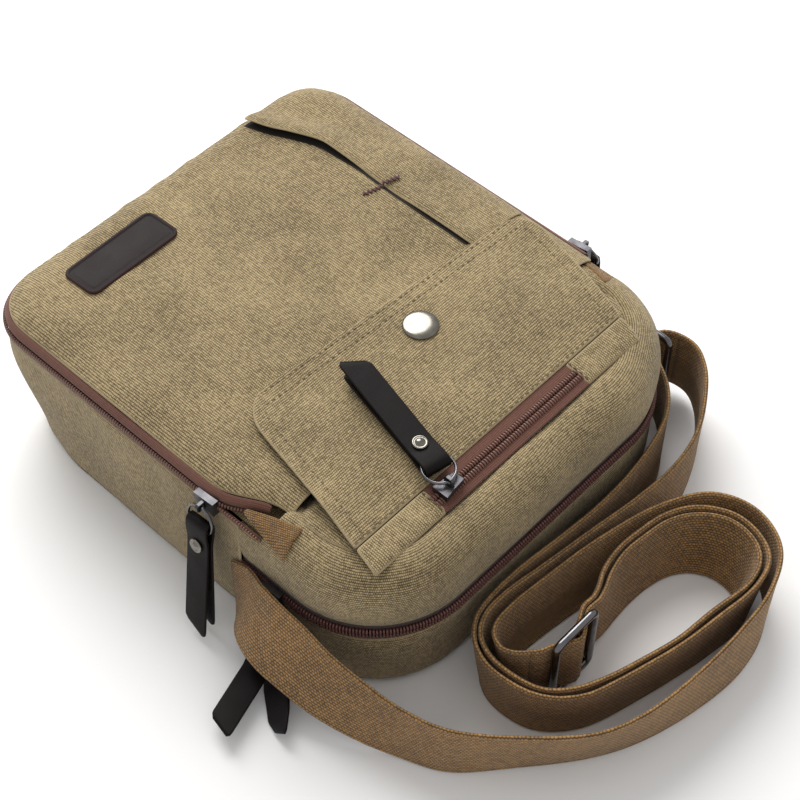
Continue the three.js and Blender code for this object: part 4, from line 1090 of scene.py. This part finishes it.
PULL_SECTION = rounded_rectangle(PULL_WIDTH, 1.4, 0.62, 4)


def placed(position, ahead, hint):
    """An origin with its three axes: ahead, across and out."""
    ahead = unit(np.array(ahead, dtype=float))
    out = unit(np.cross(ahead, np.array(hint, dtype=float)))
    return position, np.stack([ahead, np.cross(out, ahead), out])


def straight(s):
    return s, 0.0, 0.0


def floor_bend(s):
    """The main zip's pull hangs, then turns out along the floor: x, z and slope at a length s."""
    hang, radius, turn = 32.5, 9.0, 1.29
    if s < hang:
        return straight(s)
    angle = min((s - hang) / radius, turn)
    rest = s - hang - angle * radius
    x = hang + radius * math.sin(angle) + rest * math.cos(angle)
    return x, radius * (1 - math.cos(angle)) + rest * math.sin(angle), angle


def pull_line(lengths, splay):
    """The middle of a pull's leather, seen from its side: out along one leaf, through the ring and back."""
    def leaf(length, sign, spread):
        near = [(15, 2.1), (20, 1.3), (26, 1.3), (40, 1.5 + spread * 0.25)]
        far = [(length - 8, 1.7 + spread * 0.8), (length, 1.7 + spread)]
        return [(s, sign * height) for s, height in near + far]
    turns = np.radians([90, 126, 162, 198, 234, 270])
    fold = [(PULL_FOLD + 2.2 * math.cos(a), 2.2 * math.sin(a)) for a in turns]
    upper, lower = leaf(lengths[0], 1, splay[0]), leaf(lengths[1], -1, splay[1])
    return curve_through(upper[::-1] + fold + lower, PULL_STEP)


def pull_rings(lengths, splay, bend, fan):
    """Rounded strips of leather round the pull's line.

    Past the rivet the second leaf swings and twists away from the first, by the angle fan."""
    line = pull_line(lengths, splay)
    slope = np.arctan2(np.gradient(line[:, 1]), np.gradient(line[:, 0]))
    travel = np.arange(len(line)) * PULL_STEP
    to_end = np.minimum(travel, travel[-1] - travel)
    middle = line[:, 0].argmin()
    rings = []
    for k, (s, height) in enumerate(line):
        past = max(s - 26.0, 0.0) if k > middle else 0.0
        swing, twist = fan * smooth(past / 18), 1.3 * fan * smooth(past / 40)
        x, z, bent = bend(s - past * (1 - math.cos(swing)))
        centre = np.array([x - height * math.sin(bent), past * math.sin(swing), z + height * math.cos(bent)])
        sine, cosine = math.sin(slope[k] + bent), math.cos(slope[k] + bent)
        along, out = np.array([cosine, 0, sine]), np.array([-sine, 0, cosine])
        across = np.array([0.0, math.cos(swing), 0.0]) - along * math.sin(swing)
        turned = across * math.cos(twist) + out * math.sin(twist)
        out = out * math.cos(twist) - across * math.sin(twist)
        across = turned + 0.55 * smooth((10 - to_end[k]) / 10) * along * np.sign(along[0])
        narrow = 1 - 0.25 * smooth((2.2 - to_end[k]) / 2.2)
        thin = 1 - 0.3 * smooth((1.5 - to_end[k]) / 1.5)
        rings.append([centre + across * a * narrow + out * n * thin for a, n in PULL_SECTION])
    return np.array(rings)


def add_pull(name, body, place, lengths=(74, 70), splay=(1.6, 0.6), bend=straight, fan=0.0):
    """A zip's pull: folded leather, the wire ring it hangs from and the rivet through it."""
    origin, axes = place
    rings = pull_rings(lengths, splay, bend, math.radians(fan)) @ axes + origin
    rim = np.tile(PULL_WIDTH / 2 - np.abs(PULL_SECTION[:, 0]), len(rings))
    tube(f"{name}_leather", rings, "leather", body=body, nodes=f"{name}_pull", rim=rim)
    loop = []
    for cosine, sine in circle(48):
        radial = np.array([cosine, sine, 0.0])
        centre = RING_RADIUS * (radial + np.array([1.0, 0.0, 0.0]))
        loop.append([centre + 0.75 * (radial * c + np.array([0, 0, s])) for c, s in circle(12)])
    tube(f"{name}_wire_ring", np.array(loop) @ axes + origin, "gunmetal", closed=True, body=body,
         nodes=f"{name}_ring")
    rivet = [(0.02, -3.3), (2.4, -3.2), (3.1, -2.9), (3.3, -2.45), (1.1, -2.3), (1.1, 2.3), (3.5, 2.4),
             (3.75, 2.75), (3.5, 3.2), (2.9, 3.25), (2.5, 2.95), (2.2, 3.3), (1.5, 3.9), (0.02, 4.2)]
    middle = origin + RIVET_AT * axes[0]
    lathe(f"{name}_stud", rivet, middle, "nickel", body, axes, nodes=f"{name}_rivet")


def lug_point(slider, axis, sign):
    """The middle of the hole in a slider's lug, which stands out along an axis."""
    low, high = box_mm(slider)
    point = (low + high) / 2
    point[0 if axis == 2 else 1] += 0.25
    base = low[axis] if sign > 0 else high[axis]
    point[axis] = base + sign * 5.7
    return point


def add_pulls():
    for side, sign, ahead in (("right", 1, (0.2, 0.1, -0.975)), ("left", -1, (-0.3, -0.05, -0.95))):
        hinge = lug_point(f"side_zip_slider_{side}", 0, sign)
        add_pull(f"side_zip_{side}", f"side_pull_{side}", placed(hinge, ahead, (0, sign, 0)))
    place = placed(lug_point("main_zip_slider", 0, 1), (0.27, 0.12, -0.955), (-0.28, 0.96, 0))
    add_pull("main_zip", "main_slider", place, (76, 72), (1, 0.4), floor_bend, fan=32)
    place = placed(lug_point("flap_zip_slider", 2, 1), (-0.2, -0.976, 0.07), (0.98, -0.2, 0))
    add_pull("flap_zip", "flap_pull", place, splay=(1.6, 0.0))


def finish_sliders():
    """The four sliders are the CAD's own, with rounded edges."""
    for node in ("side_zip_slider_right", "side_zip_slider_left", "main_zip_slider", "flap_zip_slider"):
        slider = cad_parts[node]
        slider.data.materials.clear()
        slider.data.materials.append(LOOKS["slider"])
        bevel = slider.modifiers.new("edges", "BEVEL")
        bevel.width = 0.8 * MM
        bevel.segments = 3
        bevel.limit_method = "ANGLE"
        slider.data.shade_smooth()


def wire_loop(name, node, axis, share=1.0, body="bag"):
    """A rounded rectangle of wire in the plane of an axis and Z; share thickens the CAD's wire."""
    low, high = box_mm(node)
    centre, half = (low + high) / 2, (high - low) / 2
    wire = share * half[1 - axis]
    path = rounded_rectangle(2 * (half[axis] - wire), 2 * (half[2] - wire), 3.5, 8)
    ahead, up = np.eye(3)[axis], np.array([0.0, 0.0, 1.0])
    aside = np.cross(up, ahead)
    following = unit(np.roll(path, -1, axis=0) - np.roll(path, 1, axis=0))
    rings = []
    for (a, z), (da, dz) in zip(path, following):
        middle, outward = centre + ahead * a + up * z, ahead * dz - up * da
        rings.append([middle + wire * (outward * c + aside * s) for c, s in circle(14)])
    tube(name, rings, "gunmetal", closed=True, body=body, nodes=node)
    return centre, half[2] - wire, wire


def add_frames():
    """The strap's ring, and its adjuster with the bar across it."""
    wire_loop("ring_wire", "strap_ring", 1, body="ring")
    middle, reach, wire = wire_loop("adjuster_wire", "strap_adjuster", 0, 1.2)
    rings = [[middle + np.array([wire * c, wire * s, z]) for c, s in circle(14)]
             for z in np.linspace(-reach, reach, 25)]
    tube("adjuster_bar", rings, "gunmetal")


def add_ring_loop():
    """The webbing that holds the strap's ring, folded round the ring's straight wire."""
    low, high = box_mm("ring_loop")
    ring_low, ring_high = box_mm("strap_ring")
    wire = (ring_high[0] - ring_low[0]) / 2
    bar = ring_low[:2] + wire
    wrap = [bar + 3.2 * np.array([math.cos(a), math.sin(a)]) for a in np.radians(np.linspace(-60, 180, 9))]
    line = [(-115.3, low[1]), (-115.2, low[1] + 10), *wrap,
            (-121, 79), (-118.6, low[1] + 10), (-117.6, low[1])]
    z = (low[2] + high[2]) / 2
    centre = curve_through([(x, y, z) for x, y in line], 1.3)
    across = up_vectors(centre)
    outs = np.cross(np.gradient(centre, axis=0), across)
    ribbon("ring_webbing", centre, across, outs, high[2] - low[2] - 0.4, 1.5, nodes="ring_loop")
    for level in (z - 14, z, z + 14):
        line = np.array([(low[0] + 1.6, y, level) for y in np.linspace(low[1] + 1, low[1] + 9, 8)])
        stitches(f"ring_stitches_{int(level)}", line, np.tile([-1.0, 0, 0], (8, 1)), length=2.0)


add_camera()
add_strap()
add_walls()
add_facings()
add_layers()
add_main_zip()
add_side_zip()
add_front_panel()
add_slash_pocket()
add_bartack()
add_label()
add_tabs()
add_snap()
add_flap_cloth()
add_flap_stitches()
add_flap_zip()
add_pulls()
finish_sliders()
add_frames()
add_ring_loop()
add_studio()
add_floor()
